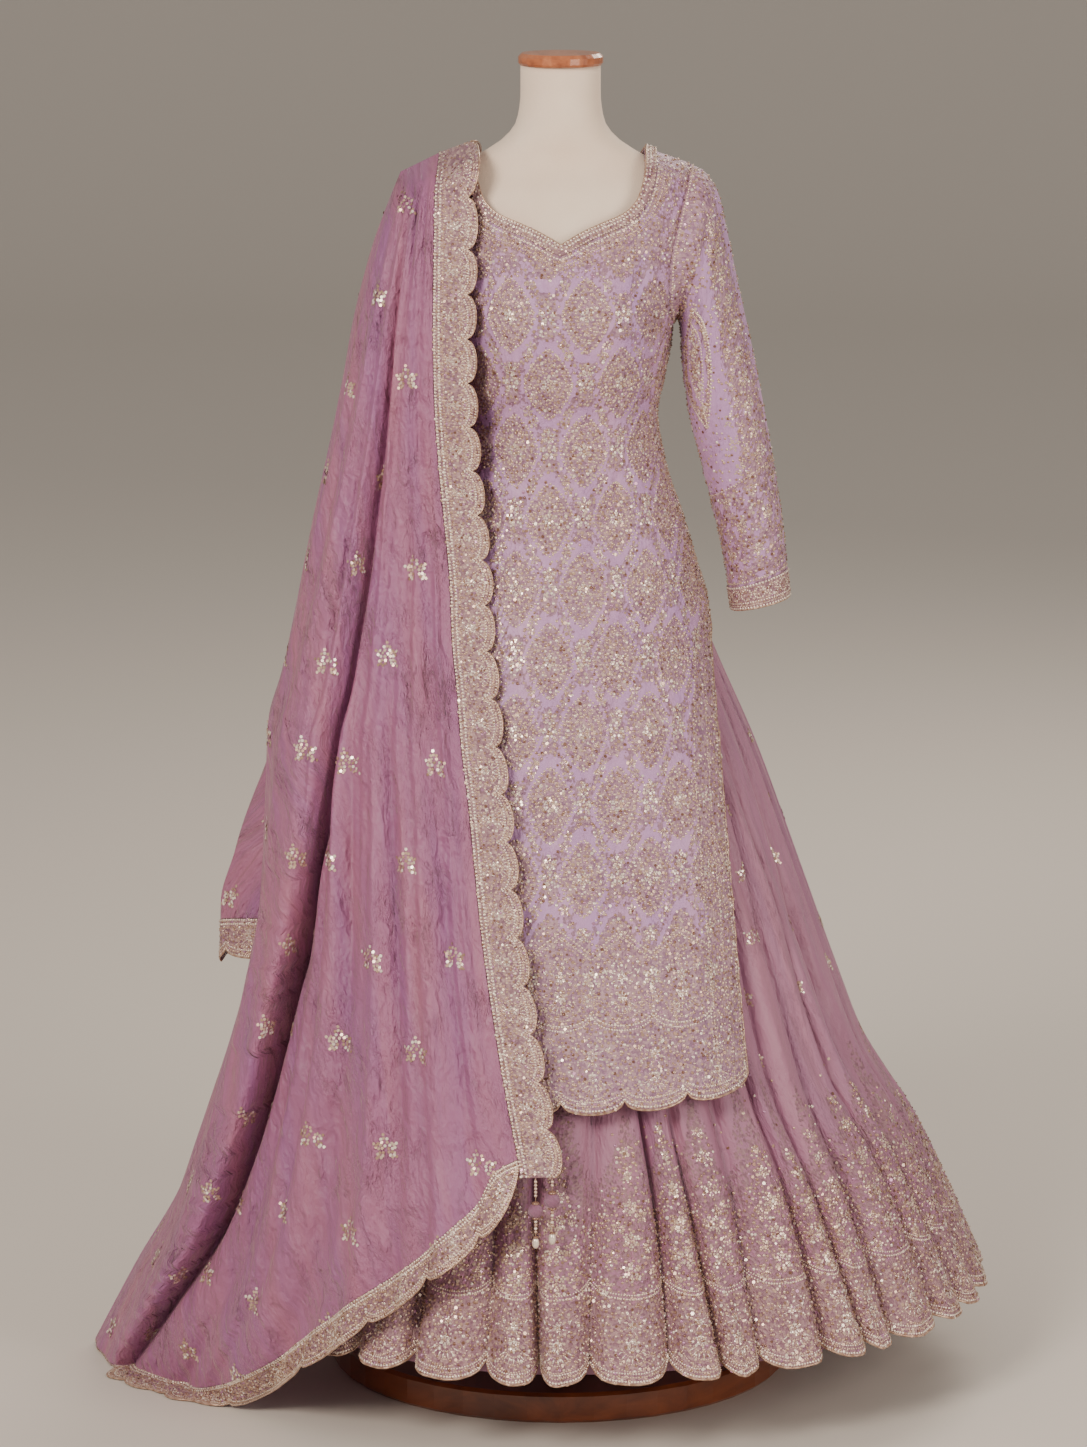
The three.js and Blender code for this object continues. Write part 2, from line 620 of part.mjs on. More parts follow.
// The border beside the beaded line, from the crest of the shoulder down, its far edge scalloped.
function innerBorder(fall, side, foot, edge) {
  const scallops = Math.round((FALL_TOP - foot) / BORDER.scallopPitch);
  const heights = spread(FALL_TOP, foot, 4 * scallops);
  const places = heights.map((z) => {
    const below = edge.points.findIndex((p) => p.z < z - 1e-6);
    if (below < 0) return null;
    const [upper, lower] = [edge.points[Math.max(0, below - 1)].z, edge.points[below].z];
    return Math.max(0, below - 1) + (below ? (upper - z) / (upper - lower) : 0);
  });
  const rows = heights.map((z, j) => {
    const seam =
      places[j] === null
        ? new THREE.Vector3(fall.inner(z), side * fall.depth(z), z)
        : onChain(edge.points, places[j]);
    return [0, 1].map((step) => {
      const out = step * (BORDER.width - scallopCut(j));
      const share = out / BORDER.width;
      const rise = EDGE_RISE * share * smoothstep(z, 1380, 1450);
      const further = 17 * share * smoothstep(z, 1395, 1455) * (1 - smoothstep(z, 1455, FALL_TOP));
      return new THREE.Vector3(
        seam.x + SEAM + out, side * Math.max(Math.abs(seam.y) + further, GAP / 2), z + rise,
      );
    });
  });
  const normals = gridNormals(rows, false).map((row) => row.map((n) => n.multiplyScalar(side)));
  places.forEach((place, j) => {
    if (place !== null) normals[j][0].copy(onChain(edge.normals, place)).normalize();
  });
  normals[0][1].set(0.33, 0, 1).normalize();
  return wall(rows, normals, SHAWL);
}

// A border along a fall's hem, by the height of its far edge; past the floor's height it lies out on the floor.
function hemBorder(fall, side, fold, edgeHeight, clothHem) {
  const cells = clothHem.points.length - 1;
  const places = spread(0, cells, 2 * cells);
  const rows = [0, 0.5, 1].map((step) =>
    places.map((place, i) => {
      const share = Math.sin(((place / cells) * Math.PI) / 2);
      const seam = onChain(clothHem.points, place);
      if (step === 0) return seam.setZ(seam.z - SEAM);
      const z = lerp(seam.z - SEAM, edgeHeight(share) + scallopCut(i), step);
      const point = foldedFall(fall, share, Math.max(z, FLOOR), side, fold);
      if (z >= FLOOR) return point;
      const out = new THREE.Vector3(point.x, point.y - 60, 0).normalize();
      return point.addScaledVector(out, FLOOR - z);
    }),
  );
  const normals = gridNormals(rows, false).map((row) => row.map((n) => n.multiplyScalar(-side)));
  places.forEach((place, i) => normals[0][i].copy(onChain(clothHem.normals, place)).normalize());
  return wall(rows, normals, SHAWL);
}

function tassel({ x, ball, radius, bead, tip }) {
  const string = 1;
  const top = BORDER.foot - GAP;
  const y = -FRONT_FALL.depth(BORDER.foot);
  const profile = [
    [0.6, tip],
    [bead * 0.7, tip + 3],
    [bead, tip + 8],
    [bead * 0.5, tip + 14],
    [string, tip + 17],
    [string, ball - radius - 4],
    [3, ball - radius - 1.5],
    [radius * 0.7, ball - radius * 0.7],
    [radius, ball],
    [radius * 0.7, ball + radius * 0.7],
    [3, ball + radius + 1],
    [string, ball + radius + 3],
    [string, top],
  ];
  return turned(profile, 8, x, y);
}

const root = new THREE.Group();
function add(name, geometry, colour, roughness = 0.8) {
  const mesh = new THREE.Mesh(geometry, new THREE.MeshStandardMaterial({ color: colour, roughness, name }));
  mesh.name = name;
  root.add(mesh);
}
const LILAC = 0xb996be;
const MAUVE = 0xaa7391;
const SHAWL_COLOUR = 0xb47da0;
const BEADS = 0xd7beb4;
const CREAM = 0xe8d6c6;
const WOOD = 0x783c1e;

const { radius, height, edge } = PLINTH;
add("plinth", turned([
  [radius - edge, 0], [radius, edge], [radius, height - edge], [radius - edge, height],
], 44), WOOD, 0.4);
add("stand_pole", turned([
  [POLE.flangeRadius, height + GAP],
  [POLE.flangeRadius, height + POLE.flangeHeight],
  [POLE.radius, height + POLE.flangeHeight + 4],
  [POLE.radius, POLE.top - GAP],
], 16), WOOD, 0.4);
add("form_body", formBody(), CREAM);
const capTop = CAP.bottom + CAP.height;
add("neck_cap", turned([
  [CAP.radius - 2, CAP.bottom + GAP],
  [CAP.radius, CAP.bottom + 3],
  [CAP.radius, capTop - 4],
  [CAP.radius - 4, capTop],
], 28), WOOD, 0.3);

add("kurta_front", kurtaPanel(-1), LILAC);
add("kurta_back", kurtaPanel(1), LILAC);
add("neck_edging", neckBand(), BEADS);
const sleeve = sleeveGrid();
const cuff = cuffGrid(sleeve);
const outOnSleeve = { ring: true, lift: CLOTH / 2 + GAP + BAND / 2 };
const flipped = (grid) => ({
  rows: mirrored(grid.rows),
  normals: mirrored(grid.normals),
});
for (const [name, { rows, normals }] of [["sleeve_left", sleeve], ["sleeve_right", flipped(sleeve)]])
  add(name, wall(rows, normals, CLOTH, { ring: true }), LILAC);
for (const [name, { rows, normals }] of [["cuff_band_left", cuff], ["cuff_band_right", flipped(cuff)]])
  add(name, wall(rows, normals, BAND, outOnSleeve), BEADS);

const skirt = skirtRows();
const columnCount = skirt.rows[0].length;
add("skirt_front", skirtHalf(skirt, 0, skirt.frontColumns), MAUVE);
add("skirt_back", skirtHalf(skirt, skirt.frontColumns, columnCount), MAUVE);
const lining = skirtRing([106, 400, 700, SLIT_TOP, SKIRT.top - 13], [36, 28, 21, 13, 4.7], 24);
add("skirt_lining", wall(lining.rows, lining.normals, BAND, { ring: true }), MAUVE);
const waistband = skirtRing([SKIRT.top, SKIRT.top + 1], [WAISTBAND.inset, WAISTBAND.inset], 32);
waistband.rows = [SKIRT.top + 2 * GAP, WAISTBAND.top].map((z) => waistband.rows[0].map((p) => p.clone().setZ(z)));
add("waistband", wall(waistband.rows, waistband.normals, CLOTH, { ring: true }), MAUVE);

const frontHeights = [1470, 1462, 1448, 1425, 1390, 1330, 1250, 1150, 1040, 930, 800, 660, 520, 380, 240, 100, 0];
const backHeights = [1470, 1462, 1448, 1425, 1380, 1300, 1180, 1050, 930, 803, 680, 552];
const front = shawlFall(FRONT_FALL, -1, 22, frontFold, FRONT_HEM.cloth, frontHeights, 800);
const back = shawlFall(BACK_FALL, 1, 14, backFold, BACK_HEM.cloth, backHeights, 0);
add("dupatta_front", front.wall, SHAWL_COLOUR);
add("dupatta_back", back.wall, SHAWL_COLOUR);
add("dupatta_border_front", innerBorder(FRONT_FALL, -1, BORDER.foot, front.edge), BEADS);
add("dupatta_border_back", innerBorder(BACK_FALL, 1, 385, back.edge), BEADS);
add("dupatta_border_hem", hemBorder(FRONT_FALL, -1, frontFold, FRONT_HEM.edge, front.hem), BEADS);
const backEdge = (share) => BACK_HEM.cloth(share) - BORDER.width;
add("dupatta_border_back_hem", hemBorder(BACK_FALL, 1, backFold, backEdge, back.hem), BEADS);
for (const [name, sizes] of Object.entries(TASSELS)) add(name, tassel(sizes), MAUVE);

export default root;
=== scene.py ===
# An anarkali suit on its dress form: the cloth, its sewing and the stand's finish.
# Tables are in millimetres, +Z up and the front of the garment toward -Y, and meshes are made in metres.
import math

import bpy
import numpy as np
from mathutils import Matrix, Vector
from mathutils.bvhtree import BVHTree


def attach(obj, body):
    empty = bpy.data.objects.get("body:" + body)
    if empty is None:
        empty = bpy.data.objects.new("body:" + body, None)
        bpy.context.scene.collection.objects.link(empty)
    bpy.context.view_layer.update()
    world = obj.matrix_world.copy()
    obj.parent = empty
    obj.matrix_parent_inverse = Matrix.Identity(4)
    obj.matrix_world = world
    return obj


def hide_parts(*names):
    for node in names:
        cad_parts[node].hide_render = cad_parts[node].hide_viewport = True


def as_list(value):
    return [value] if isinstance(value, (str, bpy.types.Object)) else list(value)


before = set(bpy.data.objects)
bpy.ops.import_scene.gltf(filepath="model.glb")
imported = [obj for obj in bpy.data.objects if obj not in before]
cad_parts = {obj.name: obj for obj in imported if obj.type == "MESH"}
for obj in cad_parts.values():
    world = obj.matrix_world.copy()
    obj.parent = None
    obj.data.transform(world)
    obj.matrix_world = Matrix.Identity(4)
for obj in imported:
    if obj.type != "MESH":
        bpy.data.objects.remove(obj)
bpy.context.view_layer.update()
chance = np.random.default_rng(11)

form = {"round": 2.2}
neck = {"half": 0.655, "band": 12, "crest": 1.5}
armhole = {"bottom": 1268, "top": 1456}
slitTop = 934
shoulderCurve = 22
kurtaThickness = 2
bandThickness = 1.4
borderThickness = 1.6
dropTop, dropLength = 50, 165
kurtaHem = {"middle": 403, "corner": 417, "scallops": 6, "depth": 13}
skirt = {"top": 1125, "valleyHem": 122, "tipHem": 104, "topDepth": 2, "hemDepth": 32}
cuffHeight = 30
border = {"width": 50, "pitch": 52, "depth": 12, "foot": 342, "backFoot": 385}
floorLevel = 2
fallTop = 1470
fallsPart = 815
gap = 0.3
seam = 0.7


def smoothstep(x, low, high):
    t = np.clip((x - low) / (high - low), 0, 1)
    return t * t * (3 - 2 * t)


def lerp(a, b, t):
    return a + (b - a) * t


def smooth(keys, values):
    keys, values = np.array(keys, float), np.array(values, float)
    span = np.diff(keys)
    steps = np.diff(values, axis=0) / span.reshape(-1, *[1] * (values.ndim - 1))
    below, above = np.concatenate([steps[:1], steps]), np.concatenate([steps, steps[-1:]])
    total = np.where(below + above == 0, 1, below + above)
    slopes = np.where(below * above > 0, 2 * below * above / total, 0)

    def at(x):
        x = np.clip(x, keys[0], keys[-1])
        i = np.clip(np.searchsorted(keys, x, side="right") - 1, 0, len(span) - 1)
        shape = np.shape(x) + (1,) * (values.ndim - 1)
        t = np.reshape((x - keys[i]) / span[i], shape)
        wide = np.reshape(span[i], shape)
        return (
            values[i] * (1 + 2 * t) * (1 - t) ** 2
            + slopes[i] * wide * t * (1 - t) ** 2
            + values[i + 1] * t * t * (3 - 2 * t)
            + slopes[i + 1] * wide * t * t * (t - 1)
        )

    return at


def columns(names, rows):
    keys = [row[0] for row in rows]
    return {name: smooth(keys, [row[k + 1] for row in rows]) for k, name in enumerate(names)}


def superCos(share, power):
    return (1 - np.minimum(1, np.abs(share)) ** power) ** (1 / power)


def bulge(t):
    # the height of a half circle over its span, 0 to 1
    return np.sqrt(np.maximum(0, 1 - (2 * t - 1) ** 2))


def unit(vectors):
    length = np.linalg.norm(vectors, axis=-1, keepdims=True)
    return vectors / np.where(length == 0, 1, length)


def gridNormals(rows, ring=False, away=(0, 0)):
    if ring:
        across = np.roll(rows, -1, 1) - np.roll(rows, 1, 1)
    else:
        across = np.gradient(rows, axis=1)
    normals = unit(np.cross(across, np.gradient(rows, axis=0)))
    outward = rows[..., :2] - np.array(away)
    return normals * (1 if np.sum(normals[..., :2] * outward) > 0 else -1)


def gridQuads(up, across, ring=False):
    j, i = np.meshgrid(np.arange(up - 1), np.arange(across if ring else across - 1), indexing="ij")
    corners = ((j, i), (j, i + 1), (j + 1, i + 1), (j + 1, i))
    return np.stack([(a * across + b % across).ravel() for a, b in corners], axis=1)


def wrapped(grid, ring=True):
    return np.concatenate([grid, grid[:, :1]], axis=1) if ring else grid


def lengths(points):
    # the running length from the first point
    steps = np.linalg.norm(np.diff(points, axis=0), axis=-1)
    return np.concatenate([0 * steps[:1], np.cumsum(steps, axis=0)])


def lengthsAcross(rows):
    return lengths(rows.swapaxes(0, 1)).T


def measured(rows, ring=False):
    # flat coordinates: the length round each row from its start, and the height
    rows = wrapped(rows, ring)
    return np.stack([lengthsAcross(rows[..., :2]), rows[..., 2]], axis=-1)


formTable = columns(["half", "front", "back"], [
    [800, 122, 94, 102], [950, 120, 94, 102], [1040, 112, 92, 92], [1110, 104, 88, 84],
    [1125, 105, 87.5, 83.5], [1134, 107, 87, 83], [1160, 107, 87, 83], [1200, 112, 100, 84],
    [1255, 123, 117, 90], [1320, 129, 106, 94], [1380, 142, 89, 88], [1430, 146, 66, 72],
    [1450, 132, 50, 56], [1465, 103, 43, 47], [1477, 82, 44, 46], [1491, 63, 45, 46],
    [1510, 51, 44, 44], [1540, 47, 43, 43], [1573, 47, 43, 43],
])
kurtaTable = columns(["half", "edge", "front", "back", "frontEdge", "backEdge"], [
    [400, 237, 220, 375, 388, 247, 262], [469, 228, 213, 345, 360, 214, 228],
    [618, 214, 200, 284, 302, 152, 164], [766, 201, 188, 225, 238, 88, 96],
    [850, 190, 181, 192, 202, 32, 34], [934, 176, 176, 163, 164, 0, 0],
    [980, 163, 163, 148, 150, 0, 0], [1040, 145, 145, 130, 131, 0, 0],
    [1100, 125, 125, 120, 112, 0, 0], [1165, 114, 114, 117, 100, 0, 0],
    [1200, 121, 121, 125, 100, 0, 0], [1268, 132, 132, 132, 104, 0, 0],
    [1300, 141, 126, 125, 106, 0, 0], [1340, 150, 127, 110, 108, 0, 0],
    [1380, 157, 134, 99, 102, 0, 0], [1420, 158, 144, 87, 92, 0, 0],
    [1440, 158, 149, 78, 80, 0, 0], [1456, 155, 152, 66, 66, 0, 0], [1477, 96, 152, 50, 50, 0, 0],
])
frontNeck = columns(["height"], [
    [0, 1372], [0.18, 1386], [0.34, 1396], [0.52, 1407], [0.61, 1421], [0.645, 1445], [0.655, 1475.5],
])
backNeck = columns(["height"], [[0, 1440], [0.3, 1443], [0.5, 1450], [0.61, 1460], [0.655, 1475.5]])
neckShares = [0, 0.09, 0.18, 0.28, 0.38, 0.48, 0.57, 0.63, 0.655, 0.74, 0.83, 0.92, 1]
sleeveRings = [
    [168, 1448, 137, 1277, 61], [184, 1424, 142, 1269, 57], [196, 1375, 144, 1240, 53],
    [210, 1310, 147, 1200, 49], [227, 1235, 156, 1150, 45], [243, 1155, 171, 1095, 42],
    [256, 1080, 185, 1040, 39], [266, 1012, 197, 983, 37], [272, 943, 206, 927, 36],
]
skirtOut = columns(["right", "left", "front", "back"], [
    [104, 522, 402, 452, 505], [200, 480, 372, 418, 470], [300, 432, 346, 385, 425],
    [404, 368, 318, 348, 372], [469, 342, 304, 325, 342], [618, 288, 270, 264, 281],
    [766, 234, 226, 205, 218], [894, 179, 179, 158, 160], [934, 165, 165, 146, 147],
    [1040, 136, 136, 119, 118], [1125, 109, 109, 100, 95],
])
frontPleats = [
    -82, -70, -57.5, -44.5, -31.5, -19.5, -8.8, 0.5, 9.8, 17.8, 25, 32.5, 41, 47.5, 55, 64.5, 74, 83.5,
]
backPleats = [97, 107, 118, 127, 138, 149, 159, 170, 181, 190, 201, 212, 222, 233, 243, 254, 264]
frontFall = columns(["inner", "outer", "depth", "round"], [
    [0, -18, -580, 470, 1.15], [100, -22, -528, 470, 1.45], [200, -30, -470, 468, 1.6],
    [300, -40, -432, 440, 1.7], [361, -50, -411, 410, 1.8], [421, -62, -391, 392, 1.9],
    [481, -73, -373, 370, 1.95], [600, -92, -352, 316, 2.05], [744, -108, -346, 252, 2.2],
    [803, -116, -345, 224, 2.2], [860, -121, -330, 194, 2.2], [915, -127, -318, 168, 2.2],
    [982, -130, -305, 146, 2.2], [1056, -137, -290, 131, 2.3], [1117, -143, -276, 124, 2.4],
    [1203, -148, -258, 122, 2.4], [1278, -149, -244, 117, 2.4], [1362, -148, -222, 104, 2.3],
    [1425, -147, -204, 80, 2.2], [1450, -145, -196, 58, 2], [1470, -143, -188, 0, 2],
])
backFall = columns(["inner", "outer", "depth", "round"], [
    [340, -60, -415, 425, 1.9], [506, -78, -409, 362, 2], [554, -84, -408, 342, 2],
    [618, -92, -390, 316, 2.1], [729, -106, -364, 266, 2.2], [803, -116, -346.5, 236, 2.2],
    [860, -121, -330, 210, 2.2], [915, -127, -318, 184, 2.2], [982, -130, -305, 162, 2.2],
    [1056, -137, -290, 142, 2.3], [1117, -143, -276, 124, 2.4], [1203, -148, -258, 112, 2.4],
    [1278, -149, -244, 114, 2.4], [1362, -148, -222, 110, 2.3], [1425, -147, -204, 86, 2.2],
    [1450, -145, -196, 60, 2], [1470, -143, -188, 0, 2],
])
frontHem = columns(["cloth", "edge"], [
    [0, 361, 342], [0.07, 349, 301], [0.14, 313, 268], [0.21, 287, 244], [0.3, 250, 208],
    [0.42, 202, 150], [0.51, 153, 97], [0.57, 114, 55], [0.63, 66, 8], [0.7, 24, -24],
    [0.77, 5, -44], [1, 5, -44],
])
backHem = columns(["cloth"], [[0, 430], [0.5, 470], [1, 552]])
furrow = columns(["share", "reach", "depth"], [
    [5, 0.9, 0.05, 12], [60, 0.89, 0.05, 24], [195, 0.86, 0.055, 38], [355, 0.83, 0.06, 42],
    [470, 0.82, 0.07, 42], [630, 0.75, 0.08, 40], [780, 0.64, 0.09, 34], [870, 0.594, 0.1, 30],
    [1045, 0.53, 0.11, 20], [1213, 0.47, 0.12, 10], [1400, 0.45, 0.12, 0],
])
wideFolds = [[0.2, 0.24, 0.05, 12], [0.3, 0.46, 0.05, 15], [0.4, 0.66, 0.04, 14]]


def paint(code):
    channels = [int(code[i:i + 2], 16) / 255 for i in (0, 2, 4)]
    return [*(c / 12.92 if c <= 0.04045 else ((c + 0.055) / 1.055) ** 2.4 for c in channels), 1.0]


def feed(node, inputs):
    # a socket is linked to its input, anything else becomes the input's value
    for key, value in inputs.items():
        if isinstance(value, bpy.types.NodeSocket):
            node.id_data.links.new(value, node.inputs[key])
        else:
            node.inputs[key].default_value = value
    return node


def addNode(tree, kind, inputs=None, **settings):
    node = tree.nodes.new(kind)
    for key, value in settings.items():
        setattr(node, key, value)
    return feed(node, inputs or {})


def mixed(tree, share, first, second):
    return addNode(tree, "ShaderNodeMix", {0: share, 6: first, 7: second}, data_type="RGBA").outputs[2]


def calculated(tree, operation, *values):
    return addNode(tree, "ShaderNodeMath", dict(enumerate(values)), operation=operation).outputs[0]


def times(tree, first, second):
    return calculated(tree, "MULTIPLY", first, second)


def clamped(tree, value, low=0, high=1):
    return addNode(tree, "ShaderNodeClamp", {0: value, 1: low, 2: high}).outputs[0]


def mapped(tree, vector, **turns):
    return addNode(tree, "ShaderNodeMapping", {"Vector": vector} | turns).outputs[0]


def noise(tree, vector, scale, detail, output=0, **more):
    inputs = {"Vector": vector, "Scale": scale, "Detail": detail} | more
    return addNode(tree, "ShaderNodeTexNoise", inputs).outputs[output]


def bumped(tree, height, distance, strength=1, **below):
    inputs = {"Height": height, "Distance": distance, "Strength": strength} | below
    return addNode(tree, "ShaderNodeBump", inputs).outputs[0]


def ramp(tree, value, stops):
    node = addNode(tree, "ShaderNodeValToRGB", {0: value})
    elements = node.color_ramp.elements
    while len(elements) < len(stops):
        elements.new(0.5)
    for element, (position, code) in zip(elements, stops):
        element.position = position
        element.color = paint(code)
    return node.outputs[0]


def startMaterial(name):
    material = bpy.data.materials.new(name)
    material.use_nodes = True
    return material, material.node_tree, material.node_tree.nodes["Principled BSDF"]


def clothMaterial(name, look):
    material, tree, shader = startMaterial(name)
    uv = addNode(tree, "ShaderNodeUVMap", uv_map="flat").outputs[0]
    # fine creases that come in patches, and faint facets between them
    patches = clamped(tree, calculated(tree, "MULTIPLY_ADD", noise(tree, uv, 9, 1), 4, -1.5), 0.25)
    ridges = []
    for turn, across in ((0.45, 1.0), (-0.7, 1.6)):
        crinkle = mapped(tree, uv, Rotation=(0, 0, turn), Scale=[across * k for k in look["crinkle"]])
        ridged = calculated(tree, "SUBTRACT", noise(tree, crinkle, 1, 6, Roughness=0.66, Distortion=0.3), 0.5)
        ridges.append(calculated(tree, "MINIMUM", calculated(tree, "ABSOLUTE", ridged), 0.06))
    creases = calculated(tree, "ADD", *ridges)
    # painted shade: along the crease lines, in patches, the ground colour is darkened toward the dark thread
    # colour
    paintedCreaseShade = clamped(tree, calculated(tree, "MULTIPLY_ADD", creases, -22, 1))
    paintedCreaseShade = times(tree, times(tree, paintedCreaseShade, patches), look["creaseShade"])
    creases = times(tree, creases, patches)
    facets = addNode(tree, "ShaderNodeVectorMath", {
        0: mapped(tree, uv, Rotation=(0, 0, 0.5), Scale=(42, 17, 1)), 1: noise(tree, uv, 24, 3, output=1),
    }, operation="ADD").outputs[0]
    facets = addNode(tree, "ShaderNodeTexVoronoi", {
        "Vector": facets, "Scale": 1, "Detail": 2, "Roughness": 0.55,
    }).outputs["Distance"]
    # thread work where the piece's stitch attribute is high
    cells = addNode(tree, "ShaderNodeTexVoronoi", {"Vector": uv, "Scale": look["stitchScale"]})
    stitch = addNode(tree, "ShaderNodeAttribute", attribute_name="stitch").outputs["Fac"]
    spread = addNode(tree, "ShaderNodeSeparateColor", {0: cells.outputs["Color"]}).outputs[0]
    threads = ramp(tree, spread, [(0, look["threadDarkAndCreaseShade"]), (0.45, look["thread"]), (1, look["threadLight"])])
    covered = calculated(tree, "GREATER_THAN", stitch, calculated(tree, "MULTIPLY_ADD", spread, 0.5, 0.3))
    streaks = noise(tree, mapped(tree, uv, Scale=(26, 2.6, 1)), 1, 4)
    ground = ramp(tree, streaks, [(0.3, look["ground"]), (0.7, look["second"])])
    # the painted crease shade is mixed into the ground colour here
    ground = mixed(tree, paintedCreaseShade, ground, paint(look["threadDarkAndCreaseShade"]))
    colour = mixed(tree, times(tree, covered, look["cover"]), ground, threads)
    weave = [
        addNode(tree, "ShaderNodeTexWave", {"Vector": uv, "Scale": 260}, bands_direction=axis).outputs[1]
        for axis in ("X", "Y")
    ]
    normal = bumped(tree, times(tree, *weave), 0.00004)
    for height, distance in (
        (creases, look["creaseHeight"]), (facets, look["creaseHeight"] * 0.16),
        (times(tree, cells.outputs["Distance"], stitch), look["stitchHeight"]),
    ):
        normal = bumped(tree, height, distance, Normal=normal)
    feed(shader, {
        "Base Color": colour, "Normal": normal, "Roughness": look["roughness"],
        "Sheen Weight": look["sheen"], "Sheen Roughness": 0.35, "Sheen Tint": paint(look["sheenTint"]),
    })
    if look["glow"]:
        through = addNode(tree, "ShaderNodeBsdfTranslucent", {"Color": colour, "Normal": normal}).outputs[0]
        both = addNode(tree, "ShaderNodeMixShader", {0: look["glow"], 1: shader.outputs[0], 2: through})
        feed(tree.nodes["Material Output"], {"Surface": both.outputs[0]})
    return material


stitching = {
    "stitchScale": 330, "stitchHeight": 0.0011, "cover": 0.75,
    "threadDarkAndCreaseShade": "6b4757", "thread": "906d72", "threadLight": "b6978f", "creaseShade": 0.25,
}
cloths = {
    "lilac_cloth": clothMaterial("lilac satin", stitching | {
        "ground": "b086ba", "second": "bd90b6", "crinkle": (17, 12, 1), "creaseHeight": 0.012,
        "roughness": 0.46, "sheen": 0.35, "sheenTint": "f3dcf0", "glow": 0,
    }),
    "mauve_cloth": clothMaterial("mauve silk", stitching | {
        "ground": "9a6a88", "second": "a9738b", "crinkle": (14, 6, 1), "creaseHeight": 0.012,
        "roughness": 0.5, "sheen": 0.35, "sheenTint": "efd2dd", "glow": 0.08,
    }),
    "shawl_cloth": clothMaterial("mauve chiffon", stitching | {
        "ground": "a06696", "second": "b0708b", "crinkle": (15, 6, 1), "creaseHeight": 0.03,
        "creaseShade": 0.65, "roughness": 0.5, "sheen": 0.4, "sheenTint": "f0cfc8", "glow": 0.18,
    }),
    "beaded_band": clothMaterial("beaded net", stitching | {
        "ground": "9d7590", "second": "ab8094", "crinkle": (40, 40, 1), "creaseHeight": 0.002,
        "roughness": 0.5, "sheen": 0.2, "sheenTint": "f0d8d8", "glow": 0, "cover": 0.85,
    }),
    "lining_cloth": clothMaterial("mauve lining", stitching | {
        "ground": "a67a92", "second": "b0849a", "crinkle": (20, 10, 1), "creaseHeight": 0.003,
        "roughness": 0.6, "sheen": 0.2, "sheenTint": "efd2dd", "glow": 0,
    }),
}


def beadMaterial():
    material, tree, shader = startMaterial("beads and sequins")
    tint = addNode(tree, "ShaderNodeAttribute", attribute_name="tint").outputs["Fac"]
    colour = ramp(tree, tint, [
        (0, "70493c"), (0.22, "9c7a68"), (0.5, "c2a38e"), (0.75, "d8c0ae"), (0.9, "f4e8da"), (1, "b07f9f"),
    ])
    feed(shader, {"Base Color": colour, "Metallic": 0.35, "Roughness": 0.25})
    return material


def surfaceMaterial(name, pattern, stops, distance, finish, relief=None, strength=1):
    # the pattern gives the colour, and the height too where there is no relief of its own
    material, tree, shader = startMaterial(name)
    place = addNode(tree, "ShaderNodeTexCoord").outputs["Object"]
    drawn = pattern(tree, place)
    height = relief(tree, place) if relief else drawn
    feed(shader, finish | {
        "Base Color": ramp(tree, drawn, stops), "Normal": bumped(tree, height, distance, strength),
    })
    return material


def woodMaterial(name, grain, codes, roughness):
    def rings(tree, place):
        return noise(tree, mapped(tree, place, Scale=grain), 1, 6, Roughness=0.6, Distortion=0.6)

    return surfaceMaterial(name, rings, list(zip((0.3, 0.52, 0.75), codes)), 0.0004, {
        "Roughness": roughness, "Coat Weight": 0.5, "Coat Roughness": 0.2,
    })


def soil(tree, place):
    return noise(tree, place, 9, 3)


def knit(tree, place):
    loops = {"Vector": mapped(tree, place, Scale=(900, 900, 500)), "Scale": 1}
    return addNode(tree, "ShaderNodeTexVoronoi", loops).outputs["Distance"]


def wear(tree, place):
    return noise(tree, place, 40, 5)


def orangePeel(tree, place):
    return noise(tree, place, 700, 1)


def winding(tree, place):
    turned = mapped(tree, place, Rotation=(0.5, 0.3, 0))
    return addNode(tree, "ShaderNodeTexWave", {"Vector": turned, "Scale": 420, "Distortion": 2}).outputs[1]


beads = beadMaterial()
woundThread = surfaceMaterial("wound thread", winding, [(0.1, "70465f"), (0.7, "a8708f")], 0.0003, {
    "Roughness": 0.45, "Sheen Weight": 0.3,
})
plinthWood = woodMaterial("dark wood", (14, 2.5, 30), ("4f2413", "763a1d", "8f4c29"), 0.32)
capWood = woodMaterial("cap wood", (60, 12, 60), ("8a4a2c", "ab6440", "c07a50"), 0.28)
metal = surfaceMaterial("painted metal", wear, [(0.35, "281a13"), (0.7, "3c291f")], 0.0002, {
    "Roughness": 0.4, "Coat Weight": 0.4,
}, orangePeel)
jersey = surfaceMaterial("cream jersey", soil, [(0.3, "e6d0bb"), (0.7, "f2e0cd")], 0.0003, {
    "Roughness": 0.85, "Sheen Weight": 0.2,
}, knit, 0.6)
print("materials made")


def addObject(name, data):
    made = bpy.data.objects.new(name, data)
    bpy.context.scene.collection.objects.link(made)
    return made


def makeMesh(name, points, faces, material=None):
    mesh = bpy.data.meshes.new(name)
    mesh.from_pydata(points, [], faces)
    mesh.polygons.foreach_set("use_smooth", [True] * len(mesh.polygons))
    if material:
        mesh.materials.append(material)
    return mesh


def makeObject(name, points, faces, material, uv=None, **marks):
    mesh = makeMesh(name, (np.asarray(points) / 1000).tolist(), faces, material)
    if uv is not None:
        layer = mesh.uv_layers.new(name="flat")
        layer.data.foreach_set("uv", (np.asarray(uv, float) / 1000).ravel())
    for label, values in marks.items():
        mesh.attributes.new(label, "FLOAT", "POINT").data.foreach_set("value", np.ravel(values))
    mesh.update()
    made = addObject(name, mesh)
    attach(made, "root")
    return made


